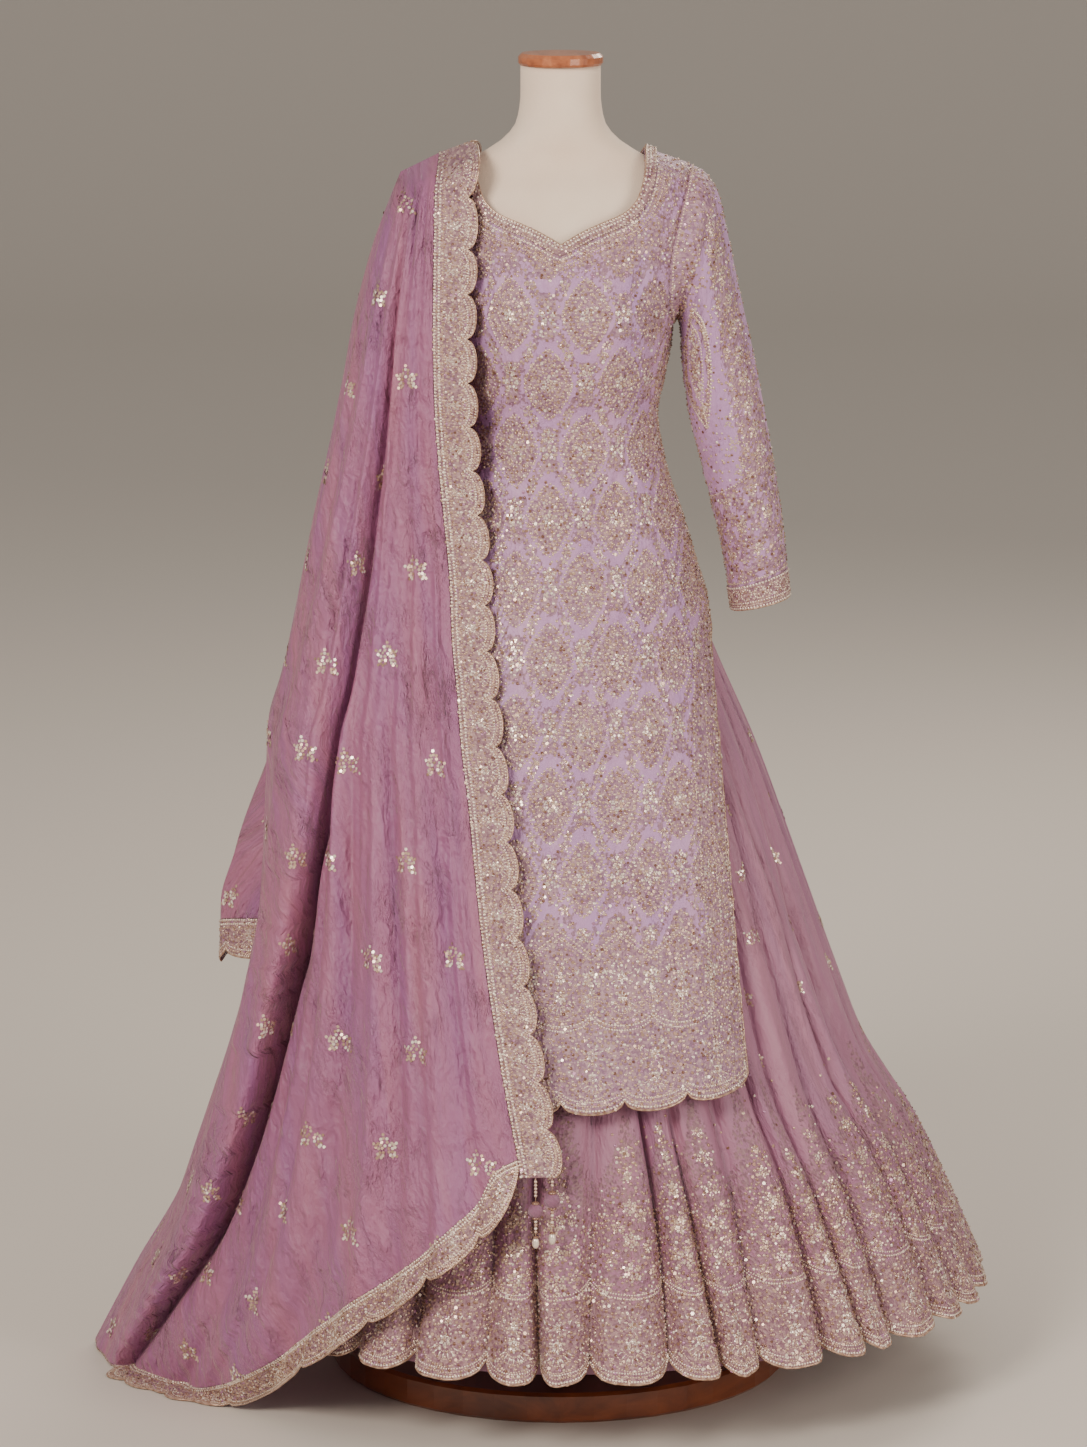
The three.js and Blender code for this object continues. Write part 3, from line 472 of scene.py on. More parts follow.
def clothPiece(name, node, slotName, rows, normals, flat, thickness, ring=False, lift=0.0, stitch=0.0):
    up, across = rows.shape[:2]
    middle = rows + normals * lift
    layers = [middle + normals * thickness / 2, middle - normals * thickness / 2] if thickness else [middle]
    quads, places = gridQuads(up, across, ring), flat.reshape(-1, 2)[gridQuads(up, flat.shape[1])]
    a, b, c = (layers[0].reshape(-1, 3)[quads[:, k]] for k in range(3))
    facing = np.sum(np.cross(b - a, c - a) * normals.reshape(-1, 3)[quads[:, 0]])
    if facing < 0:
        quads, places = quads[:, ::-1], places[:, ::-1]
    faces, uv = [quads], [places]
    if thickness:
        inner = up * across
        faces.append(quads[:, ::-1] + inner)
        uv.append(places[:, ::-1])
        ends, sides = np.arange(flat.shape[1] - 1), np.arange(up - 1)
        rims = [(0, ends, 0, ends + 1), (up - 1, ends + 1, up - 1, ends)]
        if not ring:
            rims += [(sides + 1, 0, sides, 0), (sides, len(ends), sides + 1, len(ends))]
        for ja, ia, jb, ib in rims:
            start, end = ja * across + ia % across, jb * across + ib % across
            rim = np.stack([start, end, end + inner, start + inner], axis=1)
            rimPlaces = np.stack([flat[ja, ia], flat[jb, ib], flat[jb, ib], flat[ja, ia]], axis=1)
            if facing > 0:
                rim, rimPlaces = rim[:, ::-1], rimPlaces[:, ::-1]
            faces.append(rim)
            uv.append(rimPlaces)
    made = makeObject(
        name, np.concatenate([layer.reshape(-1, 3) for layer in layers]), np.concatenate(faces).tolist(),
        cloths[slotName], uv=np.concatenate(uv).reshape(-1, 2),
        stitch=np.tile(np.ravel(np.broadcast_to(stitch, (up, across))), len(layers)),
    )
    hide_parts(node)
    return {
        "object": made, "name": name, "slot": slotName, "ring": ring,
        "rows": layers[0], "normals": normals, "flat": flat,
    }


def creased(u, v, creases):
    total = np.zeros_like(u)
    for fromU, fromV, toU, toV, reach, height in creases:
        du, dv = toU - fromU, toV - fromV
        along = np.clip(((u - fromU) * du + (v - fromV) * dv) / (du * du + dv * dv), 0, 1)
        away = np.hypot(u - fromU - along * du, v - fromV - along * dv)
        total += height * np.exp(-((away / reach) ** 2)) * (0.35 + 0.65 * np.sin(math.pi * along))
    return total


def kurtaY(x, z, side):
    end = "front" if side < 0 else "back"
    deep, edge = kurtaTable[end](z), kurtaTable[end + "Edge"](z)
    # the panels curve over to meet along the shoulder seam
    below = np.clip((shoulderHeight(x) - z) / shoulderCurve, 0, 1)
    over = np.sqrt(1 - (1 - below) ** 2)
    return side * over * (edge + (deep - edge) * superCos(x / kurtaTable["half"](z), form["round"]))


def shoulderHeight(x):
    return np.minimum(armhole["top"] + (155 - np.abs(x)) * 21 / 59, 1476.5)


def kurtaTop(share, side):
    away = np.abs(share)
    neckEdge = (frontNeck if side < 0 else backNeck)["height"](away)
    outside = np.where(away > 0.999, armhole["top"], shoulderHeight(152 * away))
    return np.where(away <= neck["half"], neckEdge, outside)


def kurtaHemHeight(share):
    within = ((share + 1) / 2 * kurtaHem["scallops"]) % 1
    return lerp(kurtaHem["middle"], kurtaHem["corner"], share**2) + kurtaHem["depth"] * (1 - bulge(within))


def kurtaGrid(side, perCell=4, low=112, high=36):
    half = len(neckShares) - 1
    column = np.linspace(-half, half, 2 * half * perCell + 1)
    above = np.sign(column) * np.interp(np.abs(column), range(half + 1), neckShares)
    below = column / half
    foot, top = kurtaHemHeight(below), kurtaTop(above, side)
    lower = lerp(foot, armhole["bottom"], np.linspace(0, 1, low)[:, None])
    turn = (1 - np.cos(np.linspace(0, math.pi, high + 1)[1:, None])) / 2
    z = np.concatenate([lower, lerp(armhole["bottom"], top, turn)])
    x = lerp(below, above, smoothstep(z, slitTop, armhole["bottom"])) * kurtaTable["edge"](z)
    y = kurtaY(x, z, side)
    y = np.where(np.abs(y) < gap / 2, side * gap / 2, y)
    rows = np.stack([x, y, z], axis=-1)
    flat = measured(rows)
    flat[..., 0] -= flat[:, [len(column) // 2], 0]
    return rows, flat


# the medallions' spacing, the middle of one of them, its height and the lowest and highest that are sewn
lattice = {"across": 79, "along": 159, "x": -13, "z": 1213, "tall": 42, "low": 640, "high": 1330}


def latticeWide(v):
    return lerp(1, 1.14, smoothstep(v, 1060, 1290))


def latticePlace(u, v):
    # offset from the nearest medallion's middle
    found = None
    u = u / latticeWide(v)
    for shift in (0, 0.5):
        du = (u - lattice["x"]) / lattice["across"] + shift
        dv = (v - lattice["z"]) / lattice["along"] + shift
        du, dv = (du - np.round(du)) * lattice["across"], (dv - np.round(dv)) * lattice["along"]
        away = np.abs(du) / lattice["across"] + np.abs(dv) / lattice["along"]
        if found is None:
            found = (away, du, dv)
        else:
            nearer = away < found[0]
            found = tuple(np.where(nearer, new, old) for new, old in zip((away, du, dv), found))
    return found[1], found[2], 2 * found[0]


def kurtaPattern(u, v):
    # how dense the sewing is, 0 to 1
    du, dv, away = latticePlace(u, v)
    medallion = (np.abs(du) / 27) ** 1.35 + (np.abs(dv) / lattice["tall"]) ** 1.35 < 1
    net = away > 0.83
    clusters = (np.hypot(np.abs(du) - 39.5, dv) < 11) | (np.hypot(du, np.abs(dv) - 62) < 9)
    return np.where(medallion, 0.95, np.where(clusters, 0.9, np.where(net, 0.6, 0.03)))


def kurtaScallops(flat):
    # half the width at a height, and the way from the phase along the hem, 0 to its count of scallops,
    # to a place across the flat panel and back
    levels, halves = flat[:, -1, 1], np.abs(flat[:, -1, 0])
    shares = np.linspace(0, kurtaHem["scallops"], flat.shape[1])
    across = flat[0, :, 0] / flat[0, -1, 0]

    def half(v):
        return np.interp(v, levels, halves)

    def toFlat(phase, v):
        return np.interp(phase, shares, across) * half(v)

    def toPhase(u, v):
        return np.interp(u / half(v), across, shares)

    return half, toFlat, toPhase


# heights of the band above the hem: its zigzag's tips and depth, the bows under it, and its motifs
kurtaBand = {"zigzag": 599, "tall": 50, "bow": 515, "upper": 549, "lower": 466}


def zigzag(phase):
    return kurtaBand["zigzag"] - kurtaBand["tall"] * np.abs((phase + 0.5) % 1 - 0.5)


def kurtaDensity(flat):
    half, _, toPhase = kurtaScallops(flat)

    def density(u, v):
        base = kurtaPattern(u, v)
        base = np.where(v > 1335, np.maximum(base, 0.5), base)
        base = np.where((half(v) - np.abs(u) < 54) & (v < 1262), 0.82, base)
        return np.where(v < zigzag(toPhase(u, v)), 0.86, base)

    return density


kurtaCreases = [
    [-60, 1200, 40, 1120, 16, -1.6], [70, 1215, 20, 1140, 14, -1.5], [-95, 1150, -40, 1085, 15, -1.6],
    [90, 1130, 45, 1060, 14, -1.4], [30, 1060, 60, 860, 18, 1.8], [-40, 1010, -60, 700, 20, 2.2],
    [95, 900, 120, 560, 18, 2.6], [10, 860, 15, 520, 22, 2.4], [-110, 880, -135, 540, 20, 2.6],
    [62, 700, 75, 430, 17, 2.8], [-55, 640, -60, 430, 17, 2.4], [150, 760, 178, 440, 16, 2.8],
    [-165, 740, -190, 440, 16, 2.8], [120, 1330, 60, 1290, 13, -1.4], [-110, 1330, -60, 1280, 13, -1.4],
    [20, 1010, 55, 985, 10, 1.2], [60, 770, 95, 745, 11, 1.5], [-10, 590, 35, 575, 12, 1.6],
    [130, 660, 160, 630, 11, 1.5], [-20, 940, 20, 925, 9, 1.1], [-70, 830, -30, 805, 11, 1.3],
]


def kurtaPanel(name, node, side, shift):
    rows, flat = kurtaGrid(side)
    u, v = flat[..., 0], flat[..., 1]
    wanted = creased(u, v, [[a + shift, b, c + shift, d, e, f] for a, b, c, d, e, f in kurtaCreases])
    away = latticePlace(u, v)[2]
    pucker = 1.1 * np.exp(-(((away - 0.76) / 0.1) ** 2)) * smoothstep(v, 600, 640)
    ripple = 0.7 * np.sin(v / 5.3 + 2.1 * np.sin(u / 31)) * np.sin(u / 17 + v / 60)
    free = smoothstep(np.abs(rows[..., 1]), 1, 25) * (1 - smoothstep(v, 1360, 1420))
    rows = rows + gridNormals(rows) * ((wanted + pucker + ripple) * free)[..., None]
    normals = gridNormals(rows)
    ends = rows[:, [0, -1], 2:]
    # along the closed side seams the cloth thickens sideways, clear of the other panel
    normals[:, [0, -1]] = np.where(
        (ends > slitTop) & (ends <= armhole["top"]), unit(normals[:, [0, -1]] * [1, 0, 1]), normals[:, [0, -1]]
    )
    stitch = kurtaDensity(flat)(u, v)
    return clothPiece(name, node, "lilac_cloth", rows, normals, flat, kurtaThickness, stitch=stitch)


kurtaFront = kurtaPanel("kurtaFront", "kurta_front", -1, 0)
kurtaBack = kurtaPanel("kurtaBack", "kurta_back", 1, 17)


def sleeveRows(around=64, perRing=8):
    angle = np.linspace(0, 2 * math.pi, around, endpoint=False)
    share = (1 + np.cos(angle)) / 2
    z = lerp(armhole["bottom"], armhole["top"], share)
    side = np.where(np.sin(angle) > 0, -1, 1)
    x = kurtaTable["edge"](z)
    front, back = kurtaY(x, z, -1), kurtaY(x, z, 1)
    y = np.where(np.abs(np.sin(angle)) < 1e-6, 0, np.where(side < 0, front, back))
    rings = [np.stack([x + gap, y, z], axis=-1)]
    for outX, outZ, inX, inZ, deep in sleeveRings:
        rings.append(np.stack([lerp(inX, outX, share), -deep * np.sin(angle), lerp(inZ, outZ, share)], axis=-1))
    along = np.linspace(0, len(rings) - 1, (len(rings) - 1) * perRing + 1)
    return smooth(range(len(rings)), rings)(along)


sleeveBase = sleeveRows()
sleeveDown = lengths(sleeveBase.mean(axis=1))
sleeveAcross = lengthsAcross(wrapped(sleeveBase))
sleeveLength = sleeveDown[-1]


def sleeveGirth(v):
    return np.interp(v, sleeveDown, sleeveAcross[:, -1])


sleeveCreases = [
    [60, 30, 150, 60, 9, -2.2], [80, 60, 190, 95, 8, 1.8], [30, 110, 120, 140, 9, 1.8],
    [150, 150, 250, 120, 9, -2], [40, 230, 130, 250, 8, -2], [60, 255, 150, 275, 7, 2],
    [150, 262, 240, 240, 8, 2], [90, 310, 170, 330, 8, 1.6], [20, 380, 110, 372, 8, -1.6],
    [130, 420, 200, 408, 7, 1.5], [200, 330, 260, 350, 8, -1.6], [10, 300, 60, 285, 7, 1.6],
]


def sleevePiece(name, node, mirror):
    flat = np.stack(np.broadcast_arrays(sleeveAcross, sleeveDown[:, None]), axis=-1)
    u, v = flat[:, :-1, 0], flat[:, :-1, 1]
    centre = sleeveBase.mean(axis=1, keepdims=True)[..., :2]
    wanted = creased(u, v, sleeveCreases) * smoothstep(v, 8, 40)
    rows = sleeveBase + gridNormals(sleeveBase, True, centre) * wanted[..., None]
    normals = gridNormals(rows, True, centre)
    if mirror:
        rows, normals = rows * [-1, 1, 1], normals * [-1, 1, 1]
    return clothPiece(
        name, node, "lilac_cloth", rows, normals, flat, kurtaThickness, ring=True, stitch=sleevePattern(u, v)
    )


def dropHalf(v):
    # half the width of the sleeve's teardrops
    return 31 * np.sin(math.pi * np.clip((v - dropTop) / dropLength, 0, 1) ** 0.8)


def sleevePattern(u, v):
    girth = sleeveGirth(v)
    aside = np.abs(u / girth - 0.5)
    off = np.abs(aside - 0.14) * girth
    half = dropHalf(v)
    drop = np.where((off > half - 10) | (off < half - 19), 0.8, 0.05)
    band = np.where(np.abs(aside - 0.36) * girth < 26, 0.72, 0.3)
    upper = np.where(off < half, drop, np.where(v < 30, 0.75, band))
    du = (u / 36 + 0.5 * np.floor(v / 34)) % 1 - 0.5
    small = np.abs(du) * 2 + np.abs((v % 34) / 34 - 0.5) * 2
    lower = np.where((small < 0.62) | (small > 0.92), 0.85, 0.2)
    return np.where(v > 300, lower, upper)


sleeveLeft = sleevePiece("sleeveLeft", "sleeve_left", False)
sleeveRight = sleevePiece("sleeveRight", "sleeve_right", True)


def cuffPiece(name, node, sleeve):
    down = sleeve["flat"][:, 0, 1]
    places = np.linspace(down[-1] - cuffHeight, down[-1], 9)
    i = np.clip(np.searchsorted(down, places) - 1, 0, len(down) - 2)
    t = ((places - down[i]) / (down[i + 1] - down[i]))[:, None, None]
    rows, normals, flat = (lerp(sleeve[key][i], sleeve[key][i + 1], t) for key in ("rows", "normals", "flat"))
    return clothPiece(
        name, node, "beaded_band", rows, unit(normals), flat, bandThickness, ring=True, lift=1.0, stitch=0.9
    )


cuffLeft = cuffPiece("cuffLeft", "cuff_band_left", sleeveLeft)
cuffRight = cuffPiece("cuffRight", "cuff_band_right", sleeveRight)


def neckEdge(side, count=97):
    # the neck's edge as x and z, and the way down the cloth from it
    t = np.linspace(0, 1, count)
    shares = neck["half"] * np.sign(t * 2 - 1) * (1 - (1 - np.abs(t * 2 - 1)) ** 1.6)
    z = kurtaTop(shares, side)
    edge = np.stack([shares * kurtaTable["edge"](z), z], axis=-1)
    along = np.gradient(edge, axis=0)
    return edge, unit(np.stack([along[:, 1], -along[:, 0]], axis=-1))


def neckBand():
    halves = []
    for side in (-1, 1):
        edge, down = neckEdge(side)
        down[0], down[-1] = (-1, 0), (1, 0)
        strips = []
        for step in np.linspace(0, 1, 5):
            x = edge[:, 0] + down[:, 0] * step * neck["band"]
            ridge = shoulderHeight(x)
            z = np.minimum(edge[:, 1] + down[:, 1] * step * neck["band"], ridge - 3)
            y = kurtaY(x, z, side) + side * neck["crest"] * smoothstep(z, 1445, 1465)
            z[[0, -1]], y[[0, -1]] = ridge[[0, -1]] + neck["crest"], 0
            strips.append(np.stack([x, y, z], axis=-1))
        halves.append(np.array(strips)[:, ::-side][:, :-1])
    rows = np.concatenate(halves, axis=1)
    around = measured(rows[:1], True)[:, :, 0]
    flat = np.stack(np.broadcast_arrays(around, np.linspace(0, neck["band"], 5)[:, None]), axis=-1)
    return clothPiece(
        "neckEdging", "neck_edging", "beaded_band", rows, gridNormals(rows, True), flat, bandThickness,
        ring=True, lift=2.4, stitch=1,
    )


neckEdging = neckBand()
print("kurta made")


def skirtPoint(angle, z, depth):
    across, ahead = np.sin(angle), -np.cos(angle)
    reach = np.where(across > 0, skirtOut["right"](z), skirtOut["left"](z))
    deep = np.where(ahead < 0, skirtOut["front"](z), skirtOut["back"](z))
    radius = np.hypot(reach * across, deep * ahead)
    scale = (radius - depth) / radius
    return np.stack([reach * across * scale, deep * ahead * scale, z + 0 * angle], axis=-1)


pleatShape = smooth(
    [0, 0.03, 0.09, 0.17, 0.3, 0.5, 0.7, 0.83, 0.91, 0.97, 1],
    [1, 0.9, 0.5, 0.2, 0.05, 0, 0.05, 0.2, 0.5, 0.9, 1],
)
pleatMiddles = frontPleats + backPleats
pleatCount = len(pleatMiddles)
pleatTip = 7  # the column of the skirt's grid on the first pleat's tip
pleatSeams = {0: -90, len(frontPleats): 90, pleatCount: 270}
pleatValleys = np.array([
    pleatSeams.get(k, (pleatMiddles[k - 1] + pleatMiddles[k % pleatCount]) / 2) for k in range(pleatCount + 1)
])


def skirtGrid(first, last, perPleat=14, high=74):
    places = np.linspace(first, last, (last - first) * perPleat + 1)
    k = np.minimum(places.astype(int), last - 1)
    within = places - k
    angle = np.radians(lerp(pleatValleys[k], pleatValleys[k + 1], within))
    shape = pleatShape(within)
    lean = 0.1 * np.sin(2 * math.pi * within) * np.sin(k * 2.4)
    valley = np.round(places)
    foot = lerp(skirt["tipHem"], skirt["valleyHem"], 1 - bulge(within))
    t = np.linspace(0, 1, high)[:, None] ** 1.15
    z = lerp(foot, skirt["top"], t)
    fall = (skirt["top"] - z) / (skirt["top"] - skirt["tipHem"])
    uneven = 0.84 + 0.16 * np.sin(valley * 2.7 + z / 150)
    depth = np.maximum(0, shape + lean) * uneven * lerp(skirt["topDepth"], skirt["hemDepth"], fall)
    wave = 1.6 * fall * np.sin(places * 4 * math.pi + 0.012 * z + 2 * np.sin(k * 1.7)) * (1 - shape)
    held = smoothstep(places, first, first + 0.6) * (1 - smoothstep(places, last - 0.6, last))
    wander = np.radians(1.3) * held * smoothstep(fall, 0, 0.3) * np.sin(places * 2.1 + z / 160)
    return skirtPoint(angle[None, :] + wander, z, depth + wave), places


skirtCreases = [
    # across the skirt from its left seam as 0 to 2400, and the height
    [1560, 900, 1800, 420, 26, 5], [1700, 820, 1980, 330, 24, -5], [1900, 760, 2120, 260, 28, 6],
    [2050, 700, 2230, 300, 20, -5], [1450, 760, 1500, 300, 22, 3.5], [900, 640, 860, 250, 24, 3.5],
    [620, 800, 560, 300, 26, 4], [330, 700, 300, 260, 24, -4], [1180, 460, 1150, 180, 20, 3],
    [1850, 430, 1960, 150, 20, 4], [2200, 480, 2280, 160, 22, 4.5],
]
skirtBackCreases = [[2400 - a, b, 2400 - c, d, reach, high] for a, b, c, d, reach, high in skirtCreases]


def skirtHalf(name, node, first, last):
    rows, places = skirtGrid(first, last)
    share = (places - first)[None, :] / (last - first)
    creases = skirtCreases if first == 0 else skirtBackCreases
    dent = creased(2400 * share + 0 * rows[..., 0], rows[..., 2], creases)
    held = smoothstep(share, 0, 0.03) * (1 - smoothstep(share, 0.97, 1))
    rows += gridNormals(rows) * (dent * held)[..., None]
    normals = gridNormals(rows)
    for end, following in ((0, 1), (-1, -2)):
        inward = rows[:, following] - rows[:, end]
        rows[:, end] += gap * unit(inward * [1, 1, 0])
    v = lengths(rows[:, pleatTip])
    lowered = (rows[:1, :, 2] - skirt["tipHem"]) * np.linspace(1, 0, len(v))[:, None] ** 3
    flat = np.stack(np.broadcast_arrays(measured(rows[:1])[:, :, 0], v[:, None] + lowered), axis=-1)
    cloth = clothPiece(name, node, "mauve_cloth", rows, normals, flat, 0, stitch=skirtPattern(flat, places))
    return cloth | {"places": places}


# heights above the hem: the solid band, the tops of the fans over it, the last strewn beads, and the sprigs
skirtSewing = {"band": 92, "fans": 268, "sway": 5.1, "strewn": 330, "sprigs": (335, 900, 72)}


def skirtPattern(flat, places):
    v = flat[..., 1]
    sway = 18 * np.sin(places * skirtSewing["sway"])
    top = skirtSewing["fans"] - 45 * np.cos(2 * math.pi * places)[None, :] + sway[None, :]
    rising = smoothstep(v, 0, 60) * 0.1
    return np.where(v < skirtSewing["band"] + 3, 0.9, np.where(v < top, 0.72 - rising, 0.0))


def fanTop(pleat):
    return skirtSewing["fans"] + 26 * np.sin(pleat * skirtSewing["sway"])


skirtFront = skirtHalf("skirtFront", "skirt_front", 0, len(frontPleats))
skirtBack = skirtHalf("skirtBack", "skirt_back", len(frontPleats), pleatCount)


def skirtRing(name, node, slotName, heights, inset, thickness, around=160, high=24):
    angle = np.linspace(-math.pi / 2, 1.5 * math.pi, around, endpoint=False)
    z = np.linspace(heights[0], heights[-1], high)[:, None]
    rows = skirtPoint(angle[None, :], z, np.interp(z, heights, inset))
    return clothPiece(
        name, node, slotName, rows, gridNormals(rows, True), measured(rows, True), thickness, ring=True
    )


lining = skirtRing(
    "skirtLining", "skirt_lining", "lining_cloth", [106, 400, 700, 934, 1112], [36, 28, 21, 13, 4.7], 0
)
waistband = skirtRing("waistbandCloth", "waistband", "mauve_cloth", [1125.6, 1160], [0.6, 0.6], 2, high=4)
print("skirt made")


fineFolds = [
    # share at the shoulder, share at the hem, reach, depth
    [0.10, 0.07, 0.016, 5.0], [0.16, 0.15, 0.02, -3.5], [0.26, 0.33, 0.022, 5.5], [0.34, 0.38, 0.018, -4.5],
    [0.38, 0.53, 0.02, 5.0], [0.46, 0.59, 0.018, -4.0], [0.55, 0.73, 0.02, 6.5], [0.62, 0.78, 0.016, -5.0],
    [0.70, 0.93, 0.018, 5.0], [0.80, 0.97, 0.018, -4.0], [0.88, 0.985, 0.014, 3.5], [0.22, 0.28, 0.012, -3.0],
    [0.50, 0.70, 0.012, -3.0], [0.05, 0.11, 0.012, 3.0], [0.43, 0.45, 0.016, 3.5], [0.66, 0.62, 0.016, 3.0],
]


def dip(share, middle, reach):
    return np.exp(-(((share - middle) / reach) ** 2))


def frontFold(share, z):
    fade = smoothstep(share, 0, 0.06) * (1 - smoothstep(share, 0.95, 1))
    low = 1 - smoothstep(z, 500, 1400)
    total = 0 * share
    for top, hem, reach, depth in wideFolds:
        total = total + depth * low * dip(share, lerp(top, hem, low), reach)
    for top, hem, reach, depth in fineFolds:
        wander = 0.006 * np.sin(z / 90 + top * 40)
        strength = (0.45 + 0.55 * low) * (0.7 + 0.3 * np.sin(z / 130 + hem * 25))
        fold = dip(share, lerp(top, hem, low) + wander, reach * (1.4 - 0.4 * low))
        total = total + 1.5 * depth * strength * fold
    return fade * total * smoothstep(fallTop - z, 6, 60)


def frontFurrow(share, z):
    # how far the cloth lies back: a crisp lip toward the beaded line, a valley, then a roll that stands out
    middle, reach = furrow["share"](z), furrow["reach"](z)
    valley = dip(share, middle, reach * np.where(share < middle, 0.2, 0.4))
    roll = bulge(np.clip((share - middle) / (1 - middle), 0, 1)) * lerp(1.7, 1.2, smoothstep(z, 700, 1000))
    return furrow["depth"](z) * (valley - roll) * (1 - smoothstep(share, 0.985, 1))


def backFold(share, z):
    fade = smoothstep(share, 0, 0.1) * (1 - smoothstep(share, 0.9, 1))
    total = 9 * (1 - smoothstep(z, 600, 1300)) * (1 - np.cos(share * 10 * math.pi)) / 2
    low = 1 - smoothstep(z, 500, 1400)
    for top, hem, reach, depth in fineFolds:
        total = total + 0.8 * depth * (0.4 + 0.6 * low) * dip(share, 1 - lerp(top, hem, low), reach * 1.4)
    return fade * total * smoothstep(fallTop - z, 6, 60)


def fallPoint(fall, share, z, side):
    x = lerp(fall["inner"](z), fall["outer"](z), share)
    y = side * fall["depth"](z) * superCos(share, fall["round"](z))
    return np.stack([x, y, z - 22 * share * smoothstep(z, 1340, fallTop)], axis=-1)


def foldedFall(fall, share, z, side, fold):
    # the back fall's outer strip is turned forward where it hangs clear of the front one
    turned = (1 - smoothstep(z, 620, fallsPart)) * (side > 0)
    strip = smoothstep(share, 0.86, 1)
    flung = lerp(share, np.minimum(1, share / 0.86), turned)
    ahead = fallPoint(fall, np.minimum(1, flung + 0.01), z, side)
    behind = fallPoint(fall, np.maximum(0, flung - 0.01), z, side)
    across = ahead - behind
    inward = unit(np.stack([across[..., 1], -across[..., 0], 0 * z], axis=-1)) * -side
    points = fallPoint(fall, flung, z, side) - inward * fold(share, z)[..., None]
    if side < 0:
        back = frontFurrow(share, z)
        edge = (1 - smoothstep(z, 360, 500)) * smoothstep(share, 0.9, 1) * (34 + 16 * np.sin(z / 70))
        return points + np.stack([0.25 * back + 0.12 * edge, 0.95 * back + edge, 0 * back], axis=-1)
    points[..., 0] += turned * 66 * strip
    points[..., 1] += turned * (60 * smoothstep(share, 0.4, 0.86) - 70 * strip)
    return points


def shawlFall(name, node, fall, side, fold, hem, lowest, wide=160, high=170):
    share = np.sin(np.linspace(0, math.pi / 2, wide))[None, :]
    height = lerp(fallTop, lowest, np.linspace(0, 1, high)[:, None] ** 1.12)
    z = lerp(fallTop, hem(share), (fallTop - height) / (fallTop - lowest))
    rows = foldedFall(fall, share + 0 * z, z, side, fold)
    rows[0, :, 1] = side * gap / 2
    rows[rows[:, -1, 2] > fallsPart, -1, 1] = side * gap / 2
    flat = measured(rows)
    if side > 0:
        flat[..., 0] = 900 - flat[..., 0]
    return clothPiece(name, node, "shawl_cloth", rows, gridNormals(rows), flat, 0)


shawlFront = shawlFall("shawlFront", "dupatta_front", frontFall, -1, frontFold, frontHem["cloth"], 0)
shawlBack = shawlFall("shawlBack", "dupatta_back", backFall, 1, backFold, backHem["cloth"], 552, 120, 150)


def scallop(phase):
    return border["depth"] * (1 - bulge(phase % 1))


def borderPiece(name, node, rows, normals, flat, edge, cusps):
    cloth = clothPiece(name, node, "beaded_band", rows, normals, flat, borderThickness, stitch=1)
    return cloth | {"edge": edge, "cusps": cusps}


def innerBorder(name, node, fall, side, foot):
    count = round((fallTop - foot) / border["pitch"])
    turns = np.linspace(0, count, count * 16 + 1)[:, None]
    z = lerp(fallTop, foot, turns / count)
    out = np.linspace(0, 1, 7)[None, :] * (border["width"] - scallop(turns))
    share = out / border["width"]
    rise = 18 * share * smoothstep(z, 1380, 1450)
    further = 17 * share * smoothstep(z, 1395, 1455) * (1 - smoothstep(z, 1455, fallTop))
    wave = 1.3 * np.sin(turns * 2 * math.pi) * share * smoothstep(fallTop - z, 20, 80)
    y = side * np.maximum(fall["depth"](z) + further + wave, gap / 2)
    rows = np.stack([fall["inner"](z) + seam + out, y, z + rise], axis=-1)
    flat = np.stack(np.broadcast_arrays(turns * border["pitch"], out), axis=-1)
    normals = gridNormals(rows)
    normals *= np.where(np.sum(normals[..., 1]) * side > 0, 1, -1)
    cusps = np.arange(count + 1) * border["pitch"]
    return borderPiece(name, node, rows, normals, flat, (flat[:, 0, 0], flat[:, -1, 1]), cusps)


def hemBorder(name, node, fall, side, fold, cells, clothHem, edgeHeight):
    place = np.linspace(0, cells, cells * 8 + 1)
    share = np.sin(place / cells * math.pi / 2)
    seamZ = clothHem(share)
    rows = [foldedFall(fall, share, seamZ, side, fold) - [0, 0, seam]]
    for step in np.linspace(0, 1, 7)[1:]:
        # what would reach below the floor lies outward on it
        z = lerp(seamZ - seam, edgeHeight(share) + scallop(place / 2), step)
        point = foldedFall(fall, share, np.maximum(z, floorLevel), side, fold)
        out = unit((point - [0, 60, 0]) * [1, 1, 0])
        out *= lerp(1, -0.7, smoothstep(share, 0.86, 0.96))[:, None]
        rows.append(point + out * np.maximum(0, floorLevel - z)[:, None])
    rows = np.array(rows)
    along, down = lengths(rows[3]), lengths(rows)
    flat = np.stack(np.broadcast_arrays(along[None, :], down), axis=-1)
    cusps = np.interp(np.arange(0, cells + 1, 2), place, along)
    return borderPiece(name, node, rows, gridNormals(rows), flat, (along, down[-1]), cusps)


def backHemEdge(share):
    return backHem["cloth"](share) - border["width"]


borderFront = innerBorder("borderFront", "dupatta_border_front", frontFall, -1, border["foot"])
borderBack = innerBorder("borderBack", "dupatta_border_back", backFall, 1, border["backFoot"])
borderHem = hemBorder(
    "borderHem", "dupatta_border_hem", frontFall, -1, frontFold, 22, frontHem["cloth"], frontHem["edge"]
)
borderBackHem = hemBorder(
    "borderBackHem", "dupatta_border_back_hem", backFall, 1, backFold, 14, backHem["cloth"], backHemEdge
)
print("shawl made")


roundBead, sequin, bugle = 0, 1, 2


